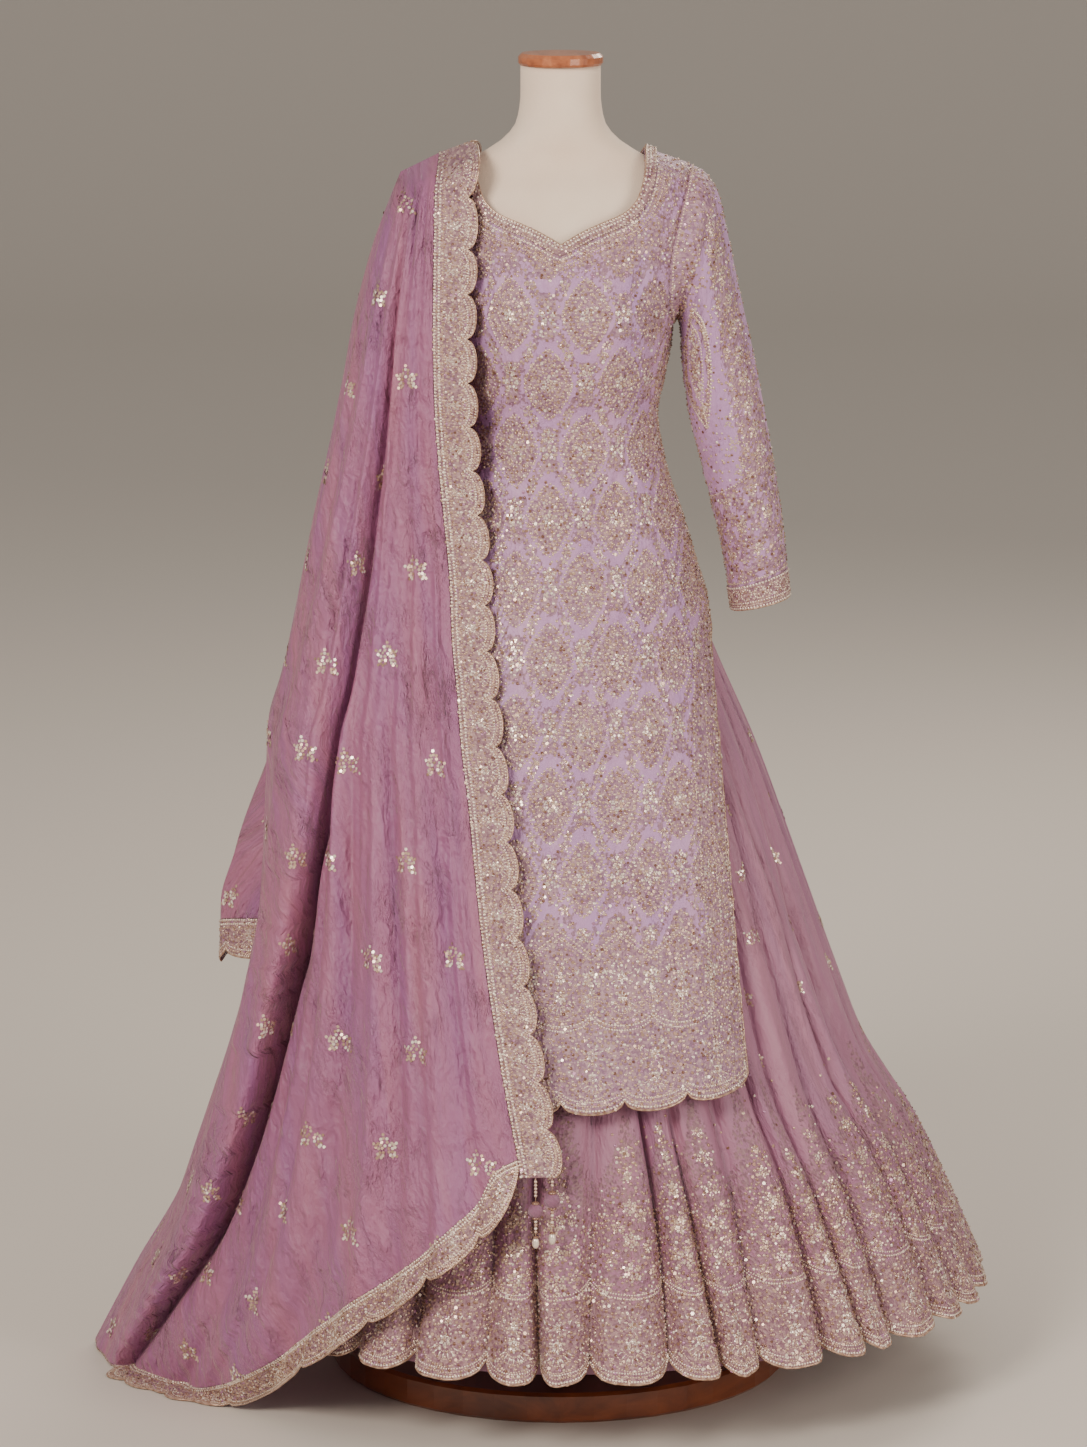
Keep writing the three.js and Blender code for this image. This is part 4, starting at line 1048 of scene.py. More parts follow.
def beadShapes():
    # named in the order of the kinds
    shapes = bpy.data.collections.new("beadShapes")
    pentagon, hexagon = (
        [(math.cos(a), math.sin(a)) for a in np.radians(np.arange(sides) * 360 / sides)] for sides in (5, 6)
    )
    bar = [(-2.4, -0.55), (2.4, -0.55), (2.4, 0.55), (-2.4, 0.55)]
    for name, points, faces in (
        ("bead0round", [(x, y, 0.05) for x, y in pentagon] + [(0, 0, 0.95)],
         [(i, (i + 1) % 5, 5) for i in range(5)]),
        ("bead1sequin", [(x, y, 0.25) for x, y in hexagon], [tuple(range(6))]),
        ("bead2bugle", [(x, y, 0) for x, y in bar] + [(-2.1, 0, 0.8), (2.1, 0, 0.8)],
         [(0, 1, 5, 4), (1, 2, 5), (2, 3, 4, 5), (3, 0, 4)]),
    ):
        shapes.objects.link(bpy.data.objects.new(name, makeMesh(name, points, faces)))
    return shapes


def sewingTree():
    tree = bpy.data.node_groups.new("sewnBeads", "GeometryNodeTree")
    for label, way, kind in (
        ("Places", "INPUT", "Geometry"), ("Shapes", "INPUT", "Collection"), ("Finish", "INPUT", "Material"),
        ("Sewn", "OUTPUT", "Geometry"),
    ):
        tree.interface.new_socket(label, in_out=way, socket_type="NodeSocket" + kind)
    start, end = tree.nodes.new("NodeGroupInput"), tree.nodes.new("NodeGroupOutput")

    def named(label, kind):
        node = addNode(tree, "GeometryNodeInputNamedAttribute", {"Name": label}, data_type=kind)
        return node.outputs["Attribute"]

    shapes = addNode(tree, "GeometryNodeCollectionInfo", {
        "Collection": start.outputs["Shapes"], "Separate Children": True, "Reset Children": True,
    })
    outward = addNode(tree, "FunctionNodeAlignRotationToVector", {
        "Vector": named("facing", "FLOAT_VECTOR"),
    }, axis="Z")
    turned = addNode(tree, "FunctionNodeAlignRotationToVector", {
        "Rotation": outward.outputs[0], "Vector": named("along", "FLOAT_VECTOR"),
    }, axis="X", pivot_axis="Z")
    placed = addNode(tree, "GeometryNodeInstanceOnPoints", {
        "Points": start.outputs["Places"], "Instance": shapes.outputs[0], "Pick Instance": True,
        "Instance Index": named("kind", "INT"), "Rotation": turned.outputs[0], "Scale": named("size", "FLOAT"),
    })
    whole = addNode(tree, "GeometryNodeRealizeInstances", {"Geometry": placed.outputs[0]})
    finished = addNode(tree, "GeometryNodeSetMaterial", {
        "Geometry": whole.outputs[0], "Material": start.outputs["Finish"],
    })
    tree.links.new(finished.outputs[0], end.inputs["Sewn"])
    return tree


shapesSewn = beadShapes()
sewing = sewingTree()


def prepared(cloth):
    # the cloth laid flat, for finding which of its triangles a flat place falls in
    if "tree" in cloth:
        return
    quads = gridQuads(*cloth["flat"].shape[:2])
    cloth["triangles"] = np.concatenate([quads[:, [0, 1, 2]], quads[:, [0, 2, 3]]])
    cloth["places2"] = cloth["flat"].reshape(-1, 2)
    cloth["places3"] = wrapped(cloth["rows"], cloth["ring"]).reshape(-1, 3)
    cloth["facing"] = wrapped(cloth["normals"], cloth["ring"]).reshape(-1, 3)
    level = np.pad(cloth["places2"], ((0, 0), (0, 1)))
    cloth["tree"] = BVHTree.FromPolygons(level.tolist(), cloth["triangles"].tolist())


def cross2(a, b):
    return a[:, 0] * b[:, 1] - a[:, 1] * b[:, 0]


def place(cloth, at, turn):
    prepared(cloth)
    found = [cloth["tree"].find_nearest((u, v, 0), 1.0) for u, v in at.tolist()]
    index = np.array([-1 if f[2] is None or f[3] > 0.4 else f[2] for f in found])
    kept = index >= 0
    corners = cloth["triangles"][index[kept]]
    a, b, c = (cloth["places2"][corners[:, k]] for k in range(3))
    p = at[kept]
    area = cross2(b - a, c - a)
    area = np.where(np.abs(area) < 1e-9, 1e-9, area)
    first, second = cross2(b - p, c - p) / area, cross2(c - p, a - p) / area
    shares = np.clip(np.stack([first, second, 1 - first - second], axis=1), 0, 1)
    shares /= shares.sum(axis=1, keepdims=True)
    solid, facing = cloth["places3"][corners], cloth["facing"][corners]
    positions = np.sum(solid * shares[..., None], axis=1)
    outward = unit(np.sum(facing * shares[..., None], axis=1))
    sideways, upward = solid[:, 1] - solid[:, 0], solid[:, 2] - solid[:, 0]
    du, dv = b - a, c - a
    alongU = (sideways * dv[:, 1:] - upward * du[:, 1:]) / area[:, None]
    alongV = (upward * du[:, :1] - sideways * dv[:, :1]) / area[:, None]
    angle = turn[kept][:, None]
    along = unit(np.cos(angle) * unit(alongU) + np.sin(angle) * unit(alongV))
    return positions, outward, along, kept


def sew(name, slotName, jobs):
    # jobs pairs pieces of cloth with their stitches: u, v, size, kind, tint, turn
    gathered = []
    for cloth, lists in jobs:
        stitches = np.concatenate(lists)
        positions, outward, along, kept = place(cloth, stitches[:, :2], stitches[:, 5])
        outward = unit(outward + chance.normal(0, 0.15, outward.shape))
        gathered.append((positions + outward * 0.1, outward, along, stitches[kept]))
    positions, outward, along, chosen = (np.concatenate(part) for part in zip(*gathered))
    mesh = makeMesh(name + "Places", (positions / 1000).tolist(), [])
    for label, kind, values in (
        ("facing", "FLOAT_VECTOR", outward), ("along", "FLOAT_VECTOR", along),
        ("size", "FLOAT", chosen[:, 2] / 1000), ("kind", "INT", chosen[:, 3].astype(int)),
        ("tint", "FLOAT", chosen[:, 4]),
    ):
        data = mesh.attributes.new(label, kind, "POINT").data
        data.foreach_set("vector" if kind == "FLOAT_VECTOR" else "value", np.ravel(values))
    holder = addObject(name + "Places", mesh)
    modifier = holder.modifiers.new("sewn", "NODES")
    modifier.node_group = sewing
    wanted = {"Shapes": shapesSewn, "Finish": beads}
    for item in sewing.interface.items_tree:
        if item.name in wanted:
            modifier[item.identifier] = wanted[item.name]
    graph = bpy.context.evaluated_depsgraph_get()
    made = bpy.data.meshes.new_from_object(
        holder.evaluated_get(graph), preserve_all_data_layers=True, depsgraph=graph
    )
    bpy.data.objects.remove(holder)
    for label in ("facing", "along", "size", "kind"):
        if label in made.attributes:
            made.attributes.remove(made.attributes[label])
    made.name = name
    piece = addObject(name, made)
    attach(piece, "root")
    print(name, len(positions), "beads", sum(len(p.vertices) - 2 for p in made.polygons), "triangles")
    return piece


def tints(count):
    shades, shares = [0.05, 0.22, 0.36, 0.5, 0.66, 0.85, 1.0], [0.08, 0.17, 0.22, 0.22, 0.17, 0.09, 0.05]
    return chance.choice(shades, count, p=shares)


def stitchesAt(u, v, size, kind=roundBead, tint=0.6, turn=0.0):
    values = np.broadcast_arrays(u, v, size, kind, tint, turn)
    return np.stack([np.ravel(value) for value in values], axis=1).astype(float)


def strewn(density, across, along, spacing, sizes=(1.2, 1.9)):
    u, v = np.meshgrid(np.arange(*across, spacing), np.arange(*along, spacing * 0.87))
    u = u + (np.arange(len(u)) % 2)[:, None] * spacing / 2
    u, v = (grid + chance.uniform(-0.33, 0.33, grid.shape) * spacing for grid in (u, v))
    kept = chance.random(u.shape) < density(u, v)
    count = int(kept.sum())
    kinds = (chance.random(count) < 0.25).astype(float)
    return stitchesAt(u[kept], v[kept], chance.uniform(*sizes, count), kinds, tints(count))


def beadLine(line, spacing, size, tint=0.72, kind=roundBead):
    points, spacing = np.stack(np.broadcast_arrays(*line), axis=-1).astype(float), max(spacing, 2.4 * size)
    total = lengths(points)
    at = np.arange(spacing / 2, total[-1], spacing)
    u, v = (np.interp(at, total, points[:, k]) for k in (0, 1))
    i = np.clip(np.searchsorted(total, at) - 1, 0, len(points) - 2)
    way = np.diff(points, axis=0)[i]
    return stitchesAt(u, v, size, kind, tint, np.arctan2(way[:, 1], way[:, 0]))


def beadRows(line, spacing, rows):
    # one line of beads for each offset, size and tint
    return [beadLine(line(offset), spacing, size, tint) for offset, size, tint in rows]


def arc(u, v, radius, start, end, count=24):
    angle = np.radians(np.linspace(start, end, count))
    return u + radius * np.cos(angle), v + radius * np.sin(angle)


def petal(u, v, size, angle, reach, side, narrow):
    du = size * (reach * math.cos(angle) - side * math.sin(angle)) * narrow
    return u + du, v + size * (reach * math.sin(angle) + side * math.cos(angle)), du


def rosette(u, v, radius, petals=5, tint=0.8, narrow=1.0, turn=90.0):
    # petals of sequins round a bead
    parts = [stitchesAt(u, v, radius * 0.16, roundBead, 0.5)]
    for angle in np.radians(turn + np.arange(petals) * 360 / petals):
        for reach, side in ((0.4, 0), (0.66, -0.14), (0.66, 0.14), (0.95, 0)):
            x, y, du = petal(u, v, radius, angle, reach, side, narrow)
            parts.append(stitchesAt(x, y, radius * 0.15, sequin, tint + 0.1 * math.sin(40 * du)))
    return np.concatenate(parts)


def sprig(u, v, size, narrow=1.0):
    # a flower of five leaves, each leaf of seven sequins
    parts = []
    leaf = ((0.26, 0), (0.46, -0.15), (0.46, 0.15), (0.66, -0.17), (0.66, 0.17), (0.7, 0), (0.92, 0))
    for angle, length in ((90, 1.1), (150, 0.9), (30, 0.9), (215, 0.85), (325, 0.85)):
        a = math.radians(angle + chance.uniform(-6, 6))
        for reach, side in leaf:
            x, y, _ = petal(u, v, size * length, a, reach, side, narrow)
            parts.append(stitchesAt(x, y, size * 0.115, sequin, float(chance.choice([0.35, 0.55, 0.7, 0.88]))))
    return np.concatenate(parts)


def fanMotif(u, v, radius, start=200.0, end=340.0, tint=0.62):
    # a half medallion: arcs of beads, rays between them and a rosette at its heart
    parts = [rosette(u, v, radius * 0.26, 6, 0.84, turn=(start + end) / 2)]
    for share, size in ((0.42, 1.0), (0.72, 1.1), (1.0, 1.2)):
        parts.append(beadLine(arc(u, v, radius * share, start, end), 2.7 * size, size, tint))
    rays = np.linspace(start + 12, end - 12, 7)
    x, y = arc(u, v, radius * 0.57, rays[0], rays[-1], 7)
    return np.concatenate([*parts, stitchesAt(x, y, radius * 0.04, bugle, 0.85, np.radians(rays))])


def starMotif(u, v, radius, tint=0.8):
    parts = [rosette(u, v, radius * 0.36, 6, 0.84)]
    for angle in np.radians(np.arange(0, 360, 45) + 22.5):
        x, y = math.cos(angle), math.sin(angle)
        reach = radius * 0.62
        parts.append(stitchesAt(u + reach * x, v + reach * y, radius * 0.055, bugle, 0.86, angle))
        parts.append(stitchesAt(u + radius * x, v + radius * y, radius * 0.075, sequin, tint))
    for side in (-1, 1):
        bar = math.radians(90 - 25 * side)
        parts.append(stitchesAt(u + side * radius * 1.05, v + radius * 0.35, radius * 0.085, bugle, 0.86, bar))
    parts.append(stitchesAt(u, v - radius * 1.15, radius * 0.095, bugle, 0.86))
    return np.concatenate(parts)


def tubeFaces(count, sides, closed=False):
    # the faces of a tube of rings, with a lid at each end unless it closes on itself
    faces = (gridQuads(count + closed, sides, True) % (count * sides)).tolist()
    last = (count - 1) * sides
    return faces if closed else faces + [list(range(sides))[::-1], list(range(last, last + sides))]


def cord(name, points, normals, radius, slotName, closed, sides=6):
    # a thin round cord along points, its first side to the normals
    ahead = unit(np.roll(points, -1, 0) - np.roll(points, 1, 0) if closed else np.gradient(points, axis=0))
    first = unit(normals - ahead * np.sum(normals * ahead, axis=1, keepdims=True))
    second = np.cross(ahead, first)
    angle = np.linspace(0, 2 * math.pi, sides, endpoint=False)[None, :, None]
    rings = points[:, None] + radius * (first[:, None] * np.cos(angle) + second[:, None] * np.sin(angle))
    tint = np.repeat(np.where(np.arange(len(points)) % 2, 0.2, 0.5), sides)
    piece = makeObject(name, rings.reshape(-1, 3), tubeFaces(len(points), sides, closed), beads, tint=tint)
    return piece


def kurtaStitches(cloth, spacing):
    scallops = kurtaHem["scallops"]
    half, toFlat, _ = kurtaScallops(cloth["flat"])
    parts = [strewn(kurtaDensity(cloth["flat"]), (-300, 300), (396, 1476), spacing, (1.4, 2.2))]
    t = np.linspace(0, 2 * math.pi, 48)
    bentCos, bentSin = (np.sign(wave) * np.abs(wave) ** 1.45 for wave in (np.cos(t), np.sin(t)))
    for i in range(-8, 9):
        for j in range(-8, 3):
            v = lattice["z"] + j * lattice["along"] / 2
            u = (lattice["x"] + i * lattice["across"] / 2) * latticeWide(v)
            if (i + j) % 2 or abs(u) > half(v) - 40 or not lattice["low"] <= v <= lattice["high"]:
                continue
            for scale, size in ((1.0, 1.6), (0.74, 1.3), (0.48, 1.4)):
                outline = u + 28 * scale * bentCos, v + lattice["tall"] * scale * bentSin
                parts.append(beadLine(outline, 4.4, size, 0.62))
            wide = lattice["across"] / 2 * latticeWide(v)
            parts.append(rosette(u, v, 9, 6, 0.82))
            parts.append(rosette(u + wide, v, 11, 5, 0.88))
            parts.append(rosette(u, v - 62, 8, 5, 0.8))
            for side, turn in ((-1, -1), (-1, 1), (1, -1), (1, 1)):
                parts.append(rosette(u + side * wide * 0.55, v + turn * 34, 6, 5, 0.66))
    sides = np.linspace(425, 1255, 120)
    for sign in (-1, 1):
        parts += beadRows(
            lambda inset: (sign * (half(sides) - inset), sides), 4.2,
            [(54, 1.5, 0.66), (7, 1.7, 0.66), (30, 1.3, 0.66)],
        )

    def hemward(phases, v):
        return toFlat(phases, v), v

    inner = np.linspace(0.5, scallops - 0.5, 300)
    parts += beadRows(lambda drop: hemward(inner, zigzag(inner) - drop), 3.4, [(0, 1.6, 0.72), (6, 1.4, 0.72)])
    bow = kurtaBand["bow"] - 18 * bulge((inner + 0.5) % 1)
    parts += beadRows(lambda drop: hemward(inner, bow - drop), 3.2, [(0, 1.5, 0.8), (5, 1.3, 0.8)])
    whole = np.linspace(0.02, scallops - 0.02, 420)
    hem = kurtaHemHeight(2 * whole / scallops - 1)
    parts += beadRows(
        lambda rise: hemward(whole, hem + rise), 2.9, [(3.5, 1.5, 0.84), (8.5, 1.3, 0.6), (13, 1.2, 0.8)]
    )
    upper, lower = kurtaBand["upper"], kurtaBand["lower"]
    for k in range(1, scallops):
        parts.append(starMotif(*hemward(k, upper), 19))
        parts.append(fanMotif(*hemward(k, upper - 21), 25))
    for k in np.arange(scallops) + 0.5:
        parts.append(starMotif(*hemward(k, lower), 18))
        parts.append(fanMotif(*hemward(k, lower - 24), 23, 195, 345))
        parts.append(rosette(*hemward(k, upper - 1), 11, 6))
        parts.append(fanMotif(*hemward(k, upper - 15), 15, tint=0.5))
    return parts


def neckStitches(side):
    # beside the neck edging, in places of the panel as seen from the front
    edge, down = neckEdge(side)
    parts = []
    for out, size, tint in ((16, 1.6, 0.8), (20, 1.3, 0.4), (24, 1.4, 0.6), (28, 1.3, 0.36)):
        line = edge + down * out
        inside = (line[:, 1] < shoulderHeight(line[:, 0]) - 4) & (np.abs(line[:, 0]) < 140)
        parts.append(beadLine(line[inside].T, 3.4, size, tint))
    return parts


def seenFlat(cloth):
    rows = cloth["rows"]
    return {"flat": rows[..., [0, 2]], "rows": rows, "normals": cloth["normals"], "ring": False}


def sleeveStitches():
    parts = [strewn(sleevePattern, (0, 440), (6, sleeveLength - 32), 5.2, (1.4, 2.1))]
    v = np.linspace(dropTop + 2, dropTop + dropLength - 2, 60)
    for middle in (0.36, 0.64):
        for sign in (-1, 1):
            parts += beadRows(
                lambda inset: (sleeveGirth(v) * middle + sign * np.maximum(0, dropHalf(v) - inset), v), 4.0,
                [(0, 1.6, 0.78), (5.5, 1.4, 0.6), (16, 1.4, 0.7)],
            )
        for k, step in enumerate(np.linspace(85, 185, 5)):
            parts.append(rosette(sleeveGirth(step) * middle, step, 7 + 3 * math.sin(k * 0.8), 6))
    for middle in (0.14, 0.86):
        for step in np.linspace(36, 285, 10):
            parts.append(rosette(sleeveGirth(step) * middle, step, 9, 6, 0.7))
            for aside in (17, -17):
                parts.append(rosette(sleeveGirth(step) * middle + aside, step + 13, 5, 5, 0.6))
    for middle in (0.25, 0.5, 0.75):
        for step in np.linspace(225, 285, 3):
            parts.append(rosette(sleeveGirth(step) * middle, step, 8, 5, 0.66))
    for row, step in enumerate(np.arange(317, sleeveLength - 40, 34)):
        for k in range(int(sleeveGirth(step) / 36)):
            parts.append(rosette((k + 0.5 * ((row + 1) % 2)) * 36, step, 7, 6, 0.7))
    around = np.linspace(0, 1, 80)
    return parts + beadRows(
        lambda at: (around * sleeveGirth(at), at), 3.6,
        [(sleeveLength - 34, 1.5, 0.66), (300, 1.3, 0.66), (3, 1.5, 0.66)],
    )


def cuffStitches(cloth):
    girth = cloth["flat"][-1, -1, 0]
    around = np.linspace(0, girth, 80)
    parts = [strewn(lambda u, v: 0.8, (0, girth), (sleeveLength - 28, sleeveLength - 4), 4.0, (1.0, 1.6))]
    for up, size, kind, tint in (
        (1.6, 1.5, roundBead, 0.84), (4.6, 0.9, bugle, 0.7),
        (8, 1.3, roundBead, 0.8), (28.5, 1.5, roundBead, 0.84),
    ):
        parts.append(beadLine((around, sleeveLength - up), 4.4 if kind == bugle else 3.0, size, tint, kind))
    for k in range(int(girth / 16)):
        parts.append(beadLine(arc(8 + 16 * k, sleeveLength - 18, 6.5, 0, 360), 3.0, 1.2, 0.8))
    return parts


def skirtStitches(cloth, first, last, spacing):
    places, bottom = cloth["places"], cloth["flat"][0]
    girth = np.linalg.norm(np.diff(cloth["rows"][..., :2], axis=1), axis=-1).sum(axis=1)

    def uAt(place):
        return np.interp(place, places, bottom[:, 0])

    def narrow(v):
        return 1 / float(np.interp(v, cloth["flat"][:, pleatTip, 1], girth / girth[0]))

    def density(u, v):
        place = np.interp(u, bottom[:, 0], places)
        above = v - np.interp(u, bottom[:, 0], bottom[:, 1]) * (v < 60)
        top = fanTop(np.floor(place))
        pointed = np.abs(place % 1 - 0.5) < lerp(0.56, 0.16, smoothstep(v, 130, top + 10))
        loose = 0.03 * (v < skirtSewing["strewn"])
        rising = np.where((v < top) & pointed, lerp(0.82, 0.55, smoothstep(v, 110, 250)), loose)
        return np.where(above < 0, 0, np.where(v < skirtSewing["band"], 0.85, rising))

    parts = [strewn(density, (0, bottom[-1, 0]), (0, skirtSewing["strewn"]), spacing, (1.5, 2.3))]
    run = np.linspace(first + 0.02, last - 0.02, (last - first) * 30)
    hem = np.interp(run, places, bottom[:, 1])
    parts += beadRows(lambda rise: (uAt(run), hem + rise), 3.2, [(3, 1.5, 0.84), (8, 1.2, 0.6), (12, 1.2, 0.82)])
    bow = 96 + 13 * (1 - bulge(run % 1))
    parts += beadRows(lambda rise: (uAt(run), bow + rise), 3.2, [(0, 1.5, 0.78), (4.5, 1.2, 0.78)])
    for k in range(first, last):
        middle = uAt(k + 0.5)
        parts += [fanMotif(middle, 44, 30), starMotif(middle, 66, 15)]
        top = fanTop(k)
        for share, size in ((0.47, 11), (0.6, 10), (0.74, 9), (0.87, 7), (0.97, 5)):
            parts.append(rosette(middle, top * share, size, 6, 0.72, narrow(top * share)))
        for level, aside in ((116, 0.3), (148, 0.24), (182, 0.16)):
            for sign in (-1, 1):
                place = uAt(k + 0.5 + sign * aside)
                parts.append(rosette(place, level + 6 * sign, 8, 5, 0.58, narrow(level)))
    for row, level in enumerate(np.arange(*skirtSewing["sprigs"])):
        pitch = 150 * narrow(level)
        for u in np.arange(pitch * (0.25 + 0.5 * (row % 2)), bottom[-1, 0], pitch):
            parts.append(sprig(u, level, 13, narrow(level)))
    return parts


def borderStitches(cloth, spacing):
    along, edge = cloth["edge"]

    def density(u, v):
        return np.where(v < np.interp(u, along, edge) - 1.5, 0.82, 0)

    parts = [strewn(density, (0, along[-1]), (1, 62), spacing, (1.3, 1.9))]
    parts += beadRows(lambda at: (along, at), 3.2, [(1.5, 1.6, 0.8), (6.5, 1.5, 0.84), (11, 1.2, 0.4)])
    insets = [(2, 1.4, 0.72), (6, 1.2, 0.5), (9.5, 1.2, 0.84)]
    parts += beadRows(lambda inset: (along, edge - inset), 3.0, insets)
    for low, high in zip(cloth["cusps"][:-1], cloth["cusps"][1:]):
        middle = (low + high) / 2
        depth = np.interp(middle, along, edge)
        if depth > 24 and high - low > 20:
            size = min(0.38 * (high - low), 0.42 * depth)
            parts += [fanMotif(middle, depth * 0.5, size, 20, 160), starMotif(middle, depth * 0.34, size * 0.5)]
    return parts


def fallStitches(start, wide, high, low):
    parts = []
    for row, level in enumerate(np.arange(high, low, -106.0)):
        for u in np.arange(start + 53 * (row % 2), wide, 106.0):
            parts.append(sprig(u + chance.uniform(-7, 7), level + chance.uniform(-9, 9), 17.5))
    return parts


def neckBandStitches(cloth):
    around = cloth["flat"][0, :, 0]
    parts = [strewn(lambda u, v: 0.85, (0, around[-1]), (3, 11), 3.6, (1.0, 1.5))]
    return parts + beadRows(lambda at: (around, at), 2.9, [(1.2, 1.5, 0.82), (5.2, 1.5, 0.86), (11.2, 1.3, 0.7)])


def trimName(cloth, kind):
    # what is sewn to the neck edging is named for the neck
    return cloth["name"].removesuffix("Edging") + kind


for cloth, stitches, settings in (
    (kurtaFront, kurtaStitches, (kurtaFront, 5.4)),
    (kurtaBack, kurtaStitches, (kurtaBack, 7.8)),
    (sleeveLeft, sleeveStitches, ()),
    (sleeveRight, sleeveStitches, ()),
    (cuffLeft, cuffStitches, (cuffLeft,)),
    (cuffRight, cuffStitches, (cuffRight,)),
    (neckEdging, neckBandStitches, (neckEdging,)),
    (skirtFront, skirtStitches, (skirtFront, 0, len(frontPleats), 6.2)),
    (skirtBack, skirtStitches, (skirtBack, len(frontPleats), pleatCount, 8.1)),
    (shawlFront, fallStitches, (38, 900, 1420, 20)),
    (shawlBack, fallStitches, (120, 870, 1400, 440)),
    (borderFront, borderStitches, (borderFront, 4.7)),
    (borderHem, borderStitches, (borderHem, 4.7)),
    (borderBack, borderStitches, (borderBack, 6.2)),
    (borderBackHem, borderStitches, (borderBackHem, 5.0)),
):
    jobs = [(cloth, stitches(*settings))]
    if stitches is kurtaStitches:
        jobs.append((seenFlat(cloth), neckStitches(-1 if cloth is kurtaFront else 1)))
    name = trimName(cloth, "Beads")
    sew(name, cloth["slot"], jobs)
print("sewing made")


def slitAndHem(grid):
    low = kurtaFront["rows"][:, 0, 2] < slitTop - 4
    return np.concatenate([grid[low, 0][::-1], grid[0, 1:-1], grid[low, -1]])


def firstRow(grid):
    return grid[0]


def lastRow(grid):
    return grid[-1]


def lastColumn(grid):
    return grid[:, -1]


for cloth, edge, radius in (
    (kurtaFront, slitAndHem, 1.5), (kurtaBack, slitAndHem, 1.5),
    (skirtFront, firstRow, 1.5), (skirtBack, firstRow, 1.5),
    (borderFront, lastColumn, 1.2), (borderBack, lastColumn, 1.2),
    (borderHem, lastRow, 1.2), (borderBackHem, lastRow, 1.2),
    (cuffLeft, lastRow, 1.2), (cuffRight, lastRow, 1.2), (neckEdging, firstRow, 1.2),
):
    name, outward = trimName(cloth, "Piping"), edge(cloth["normals"])
    cord(name, edge(cloth["rows"]) - outward * 0.7, outward, radius, cloth["slot"], cloth["ring"])


def turnedShape(profile, sides, x, y):
    # a solid turned round an upright line, from (radius, height) pairs
    angle = np.linspace(0, 2 * math.pi, sides, endpoint=False)
    rings = [[x + r * np.cos(angle), y + r * np.sin(angle), z + 0 * angle] for r, z in profile]
    return np.array(rings).transpose(0, 2, 1).reshape(-1, 3), tubeFaces(len(profile), sides)


def ballProfile(radius, z, tall=1.0, steps=9):
    angle = np.linspace(-1.45, 1.45, steps)
    return [(radius * math.cos(a), z + radius * tall * math.sin(a)) for a in angle]


def tassel(name, node, x, ball, radius, tip):
    y, top = -float(frontFall["depth"](border["foot"])), border["foot"] - gap
    wound, faces = turnedShape(ballProfile(radius, ball, steps=25), 40, x, y)
    away = wound - [x, y, ball]
    twist = np.arctan2(away[:, 1], away[:, 0])
    wound += unit(away) * (0.35 * np.sin(7 * twist + away[:, 2] * 0.9))[:, None]
    piece = makeObject(name + "Ball", wound, faces, woundThread)
    strung = [(2.0, top - 4.5 - 4.1 * k, 0.7, 1.0) for k in range(max(1, int((top - ball - radius - 6) / 4.1)))]
    strung += [(radius * 0.55, ball + radius * 1.02, 0.2, 0.5), (radius * 0.55, ball - radius * 1.02, 0.2, 0.5)]
    low = ball - radius - 4.5
    while low - 2 > tip + 17:
        strung.append((2.0, low, 0.85 if len(strung) % 2 else 0.5, 1.0))
        low -= 4.1
    strung += [(3.2, tip + 14.5, 0.15, 0.55), (radius * 0.5, tip + 7.6, 0.85, 1.6)]
    points, beadFaces, tint = [], [], []
    for size, z, shade, tall in strung:
        made, shape = turnedShape(ballProfile(size, z, tall), 12, x, y)
        beadFaces += [[len(tint) + n for n in face] for face in shape]
        points.append(made)
        tint += [shade] * len(made)
    drops = makeObject(name + "Beads", np.concatenate(points), beadFaces, beads, tint=tint)
    heights = np.linspace(top, tip + 1, 16)
    path = np.stack([x + 0 * heights, y + 0 * heights, heights], axis=-1)
    string = cord(name + "String", path, np.tile([[0.0, -1, 0]], (16, 1)), 0.5, "bead_tassel", False)
    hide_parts(node)


tassel("tasselLong", "tassel_long", -10, 315, 9, 262)
tassel("tasselShort", "tassel_short", -29, 303, 8.5, 257)
print("piping and tassels made")


def formBody():
    angle = np.linspace(0, 2 * math.pi, 96, endpoint=False)[None, :]
    z = np.linspace(800, 1573, 80)[:, None]
    across, ahead = np.sin(angle), -np.cos(angle)
    full = smoothstep(z, 1165, 1230) * (1 - smoothstep(z, 1450, 1500))
    power = lerp(1, 2 / form["round"], full)
    depth = np.where(ahead < 0, formTable["front"](z), formTable["back"](z))
    x = formTable["half"](z) * np.sign(across) * np.abs(across) ** power
    y = depth * np.sign(ahead) * np.abs(ahead) ** power
    rows = np.stack([x, y, z + 0 * x], axis=-1)
    around = rows.shape[1]
    points = np.concatenate([rows.reshape(-1, 3), rows[0].mean(0)[None], rows[-1].mean(0)[None]])
    last = (len(rows) - 1) * around
    faces = gridQuads(len(rows), around, True).tolist()
    faces += [[len(points) - 2, (n + 1) % around, n] for n in range(around)]
    faces += [[len(points) - 1, last + n, last + (n + 1) % around] for n in range(around)]
    made = makeObject("dressForm", points, faces, jersey)
    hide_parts("form_body")


formBody()
for node, material in (("plinth", plinthWood), ("neck_cap", capWood), ("stand_pole", metal)):
    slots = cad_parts[node].data.materials
    slots.clear()
    slots.append(material)
print("form made")

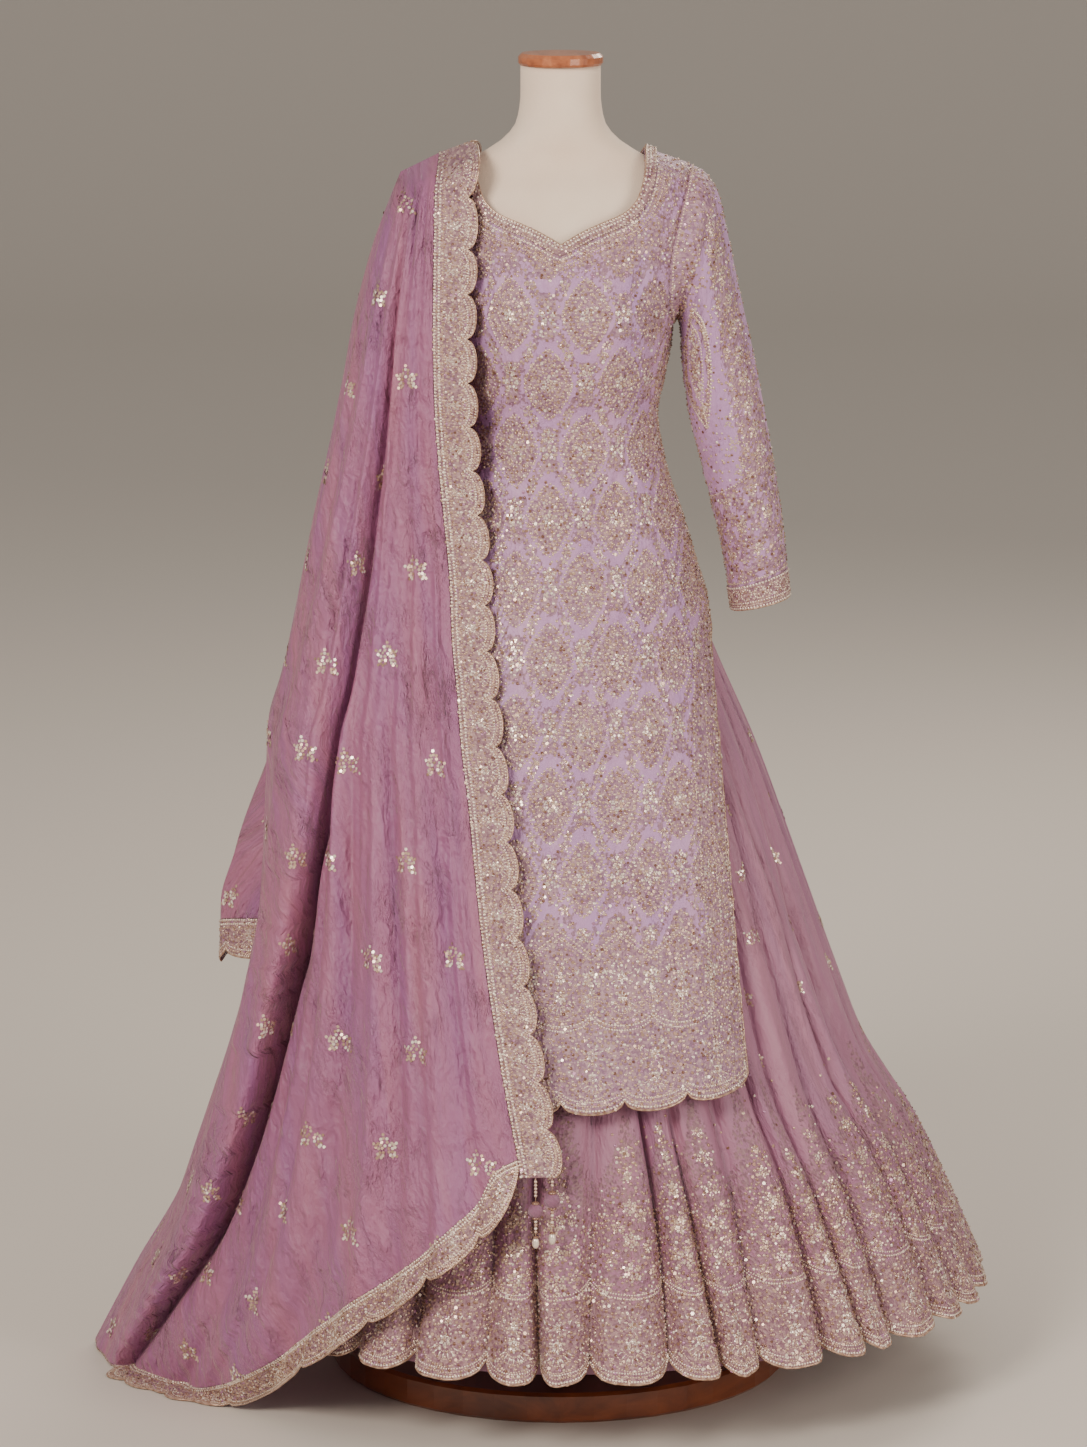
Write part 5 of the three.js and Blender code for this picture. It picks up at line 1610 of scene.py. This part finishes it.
for cloth, width, length, area, held, restsOn in (
    # the width, length and flat area of each cut, how it is held and what it rests on
    (kurtaFront, 0.56, 1.09, 0.44, "draped", ["form_body"]),
    (kurtaBack, 0.56, 1.09, 0.46, "draped", ["form_body"]),
    (sleeveLeft, 0.33, 0.53, 0.14, "hung", ["form_body"]),
    (sleeveRight, 0.33, 0.53, 0.14, "hung", ["form_body"]),
    (cuffLeft, 0.24, 0.031, None, "hung", ["sleeveLeft"]),
    (cuffRight, 0.24, 0.031, None, "hung", ["sleeveRight"]),
    (neckEdging, 0.74, 0.014, None, "draped", ["kurtaFront", "kurtaBack"]),
    (skirtFront, 1.9, 1.1, 1.2, "gathered", ["waistbandCloth"]),
    (skirtBack, 1.9, 1.1, 1.2, "gathered", ["waistbandCloth"]),
    (lining, 2.7, 1.05, 1.9, "hung", ["waistbandCloth"]),
    (waistband, 0.66, 0.036, None, "stretched", ["form_body"]),
    (shawlFront, 0.9, 1.5, 0.8, "draped", ["form_body"]),
    (shawlBack, 0.6, 1.0, 0.33, "draped", ["form_body"]),
    (borderFront, 1.15, 0.052, None, "hung", ["shawlFront"]),
    (borderBack, 1.1, 0.052, None, "hung", ["shawlBack"]),
    (borderHem, 0.8, 0.05, 0.032, "hung", ["shawlFront"]),
    (borderBackHem, 0.65, 0.052, None, "hung", ["shawlBack"]),
):
    trims = [trimName(cloth, kind) for kind in ("Beads", "Piping")]
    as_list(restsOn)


def aim(thing, spot, target):
    thing.location = spot
    thing.rotation_euler = (Vector(target) - Vector(spot)).to_track_quat("-Z", "Y").to_euler()
    return thing


def studio():
    turn = np.linspace(0, math.pi / 2, 24)
    profile = [(-14, 0), *zip(10 + 5 * np.sin(turn), 5 - 5 * np.cos(turn)), (15, 12)]
    material, _, shader = startMaterial("pale floor")
    feed(shader, {"Base Color": paint("cfc8c0"), "Roughness": 0.7})
    addObject("floor", makeMesh(
        "floor", [(x, y, z) for y, z in profile for x in (-18, 18)],
        [(2 * n, 2 * n + 1, 2 * n + 3, 2 * n + 2) for n in range(len(profile) - 1)], material,
    ))
    world = bpy.data.worlds.new("studio")
    world.use_nodes = True
    feed(world.node_tree.nodes["Background"], {0: paint("dcd6cf"), 1: 0.62})
    bpy.context.scene.world = world
    for name, spot, size, power in (
        ("key", (-2.4, -4.0, 3.4), 1.6, 230), ("fill", (3.2, -3.2, 2.2), 2.2, 120),
        ("rim", (1.5, 3.2, 3.4), 2.0, 90),
    ):
        light = bpy.data.lights.new(name, "AREA")
        light.size, light.energy, light.color = size, power, paint("fff2e4")[:3]
        aim(addObject(name, light), spot, (0, 0, 0.85))
    camera = bpy.data.cameras.new("camera")
    camera.lens, camera.sensor_width = 135.4, 36
    bpy.context.scene.camera = aim(addObject("camera", camera), (-0.02, -6.4, 2.08), (-0.02, 0, 0.786))


studio()
print("scene made")
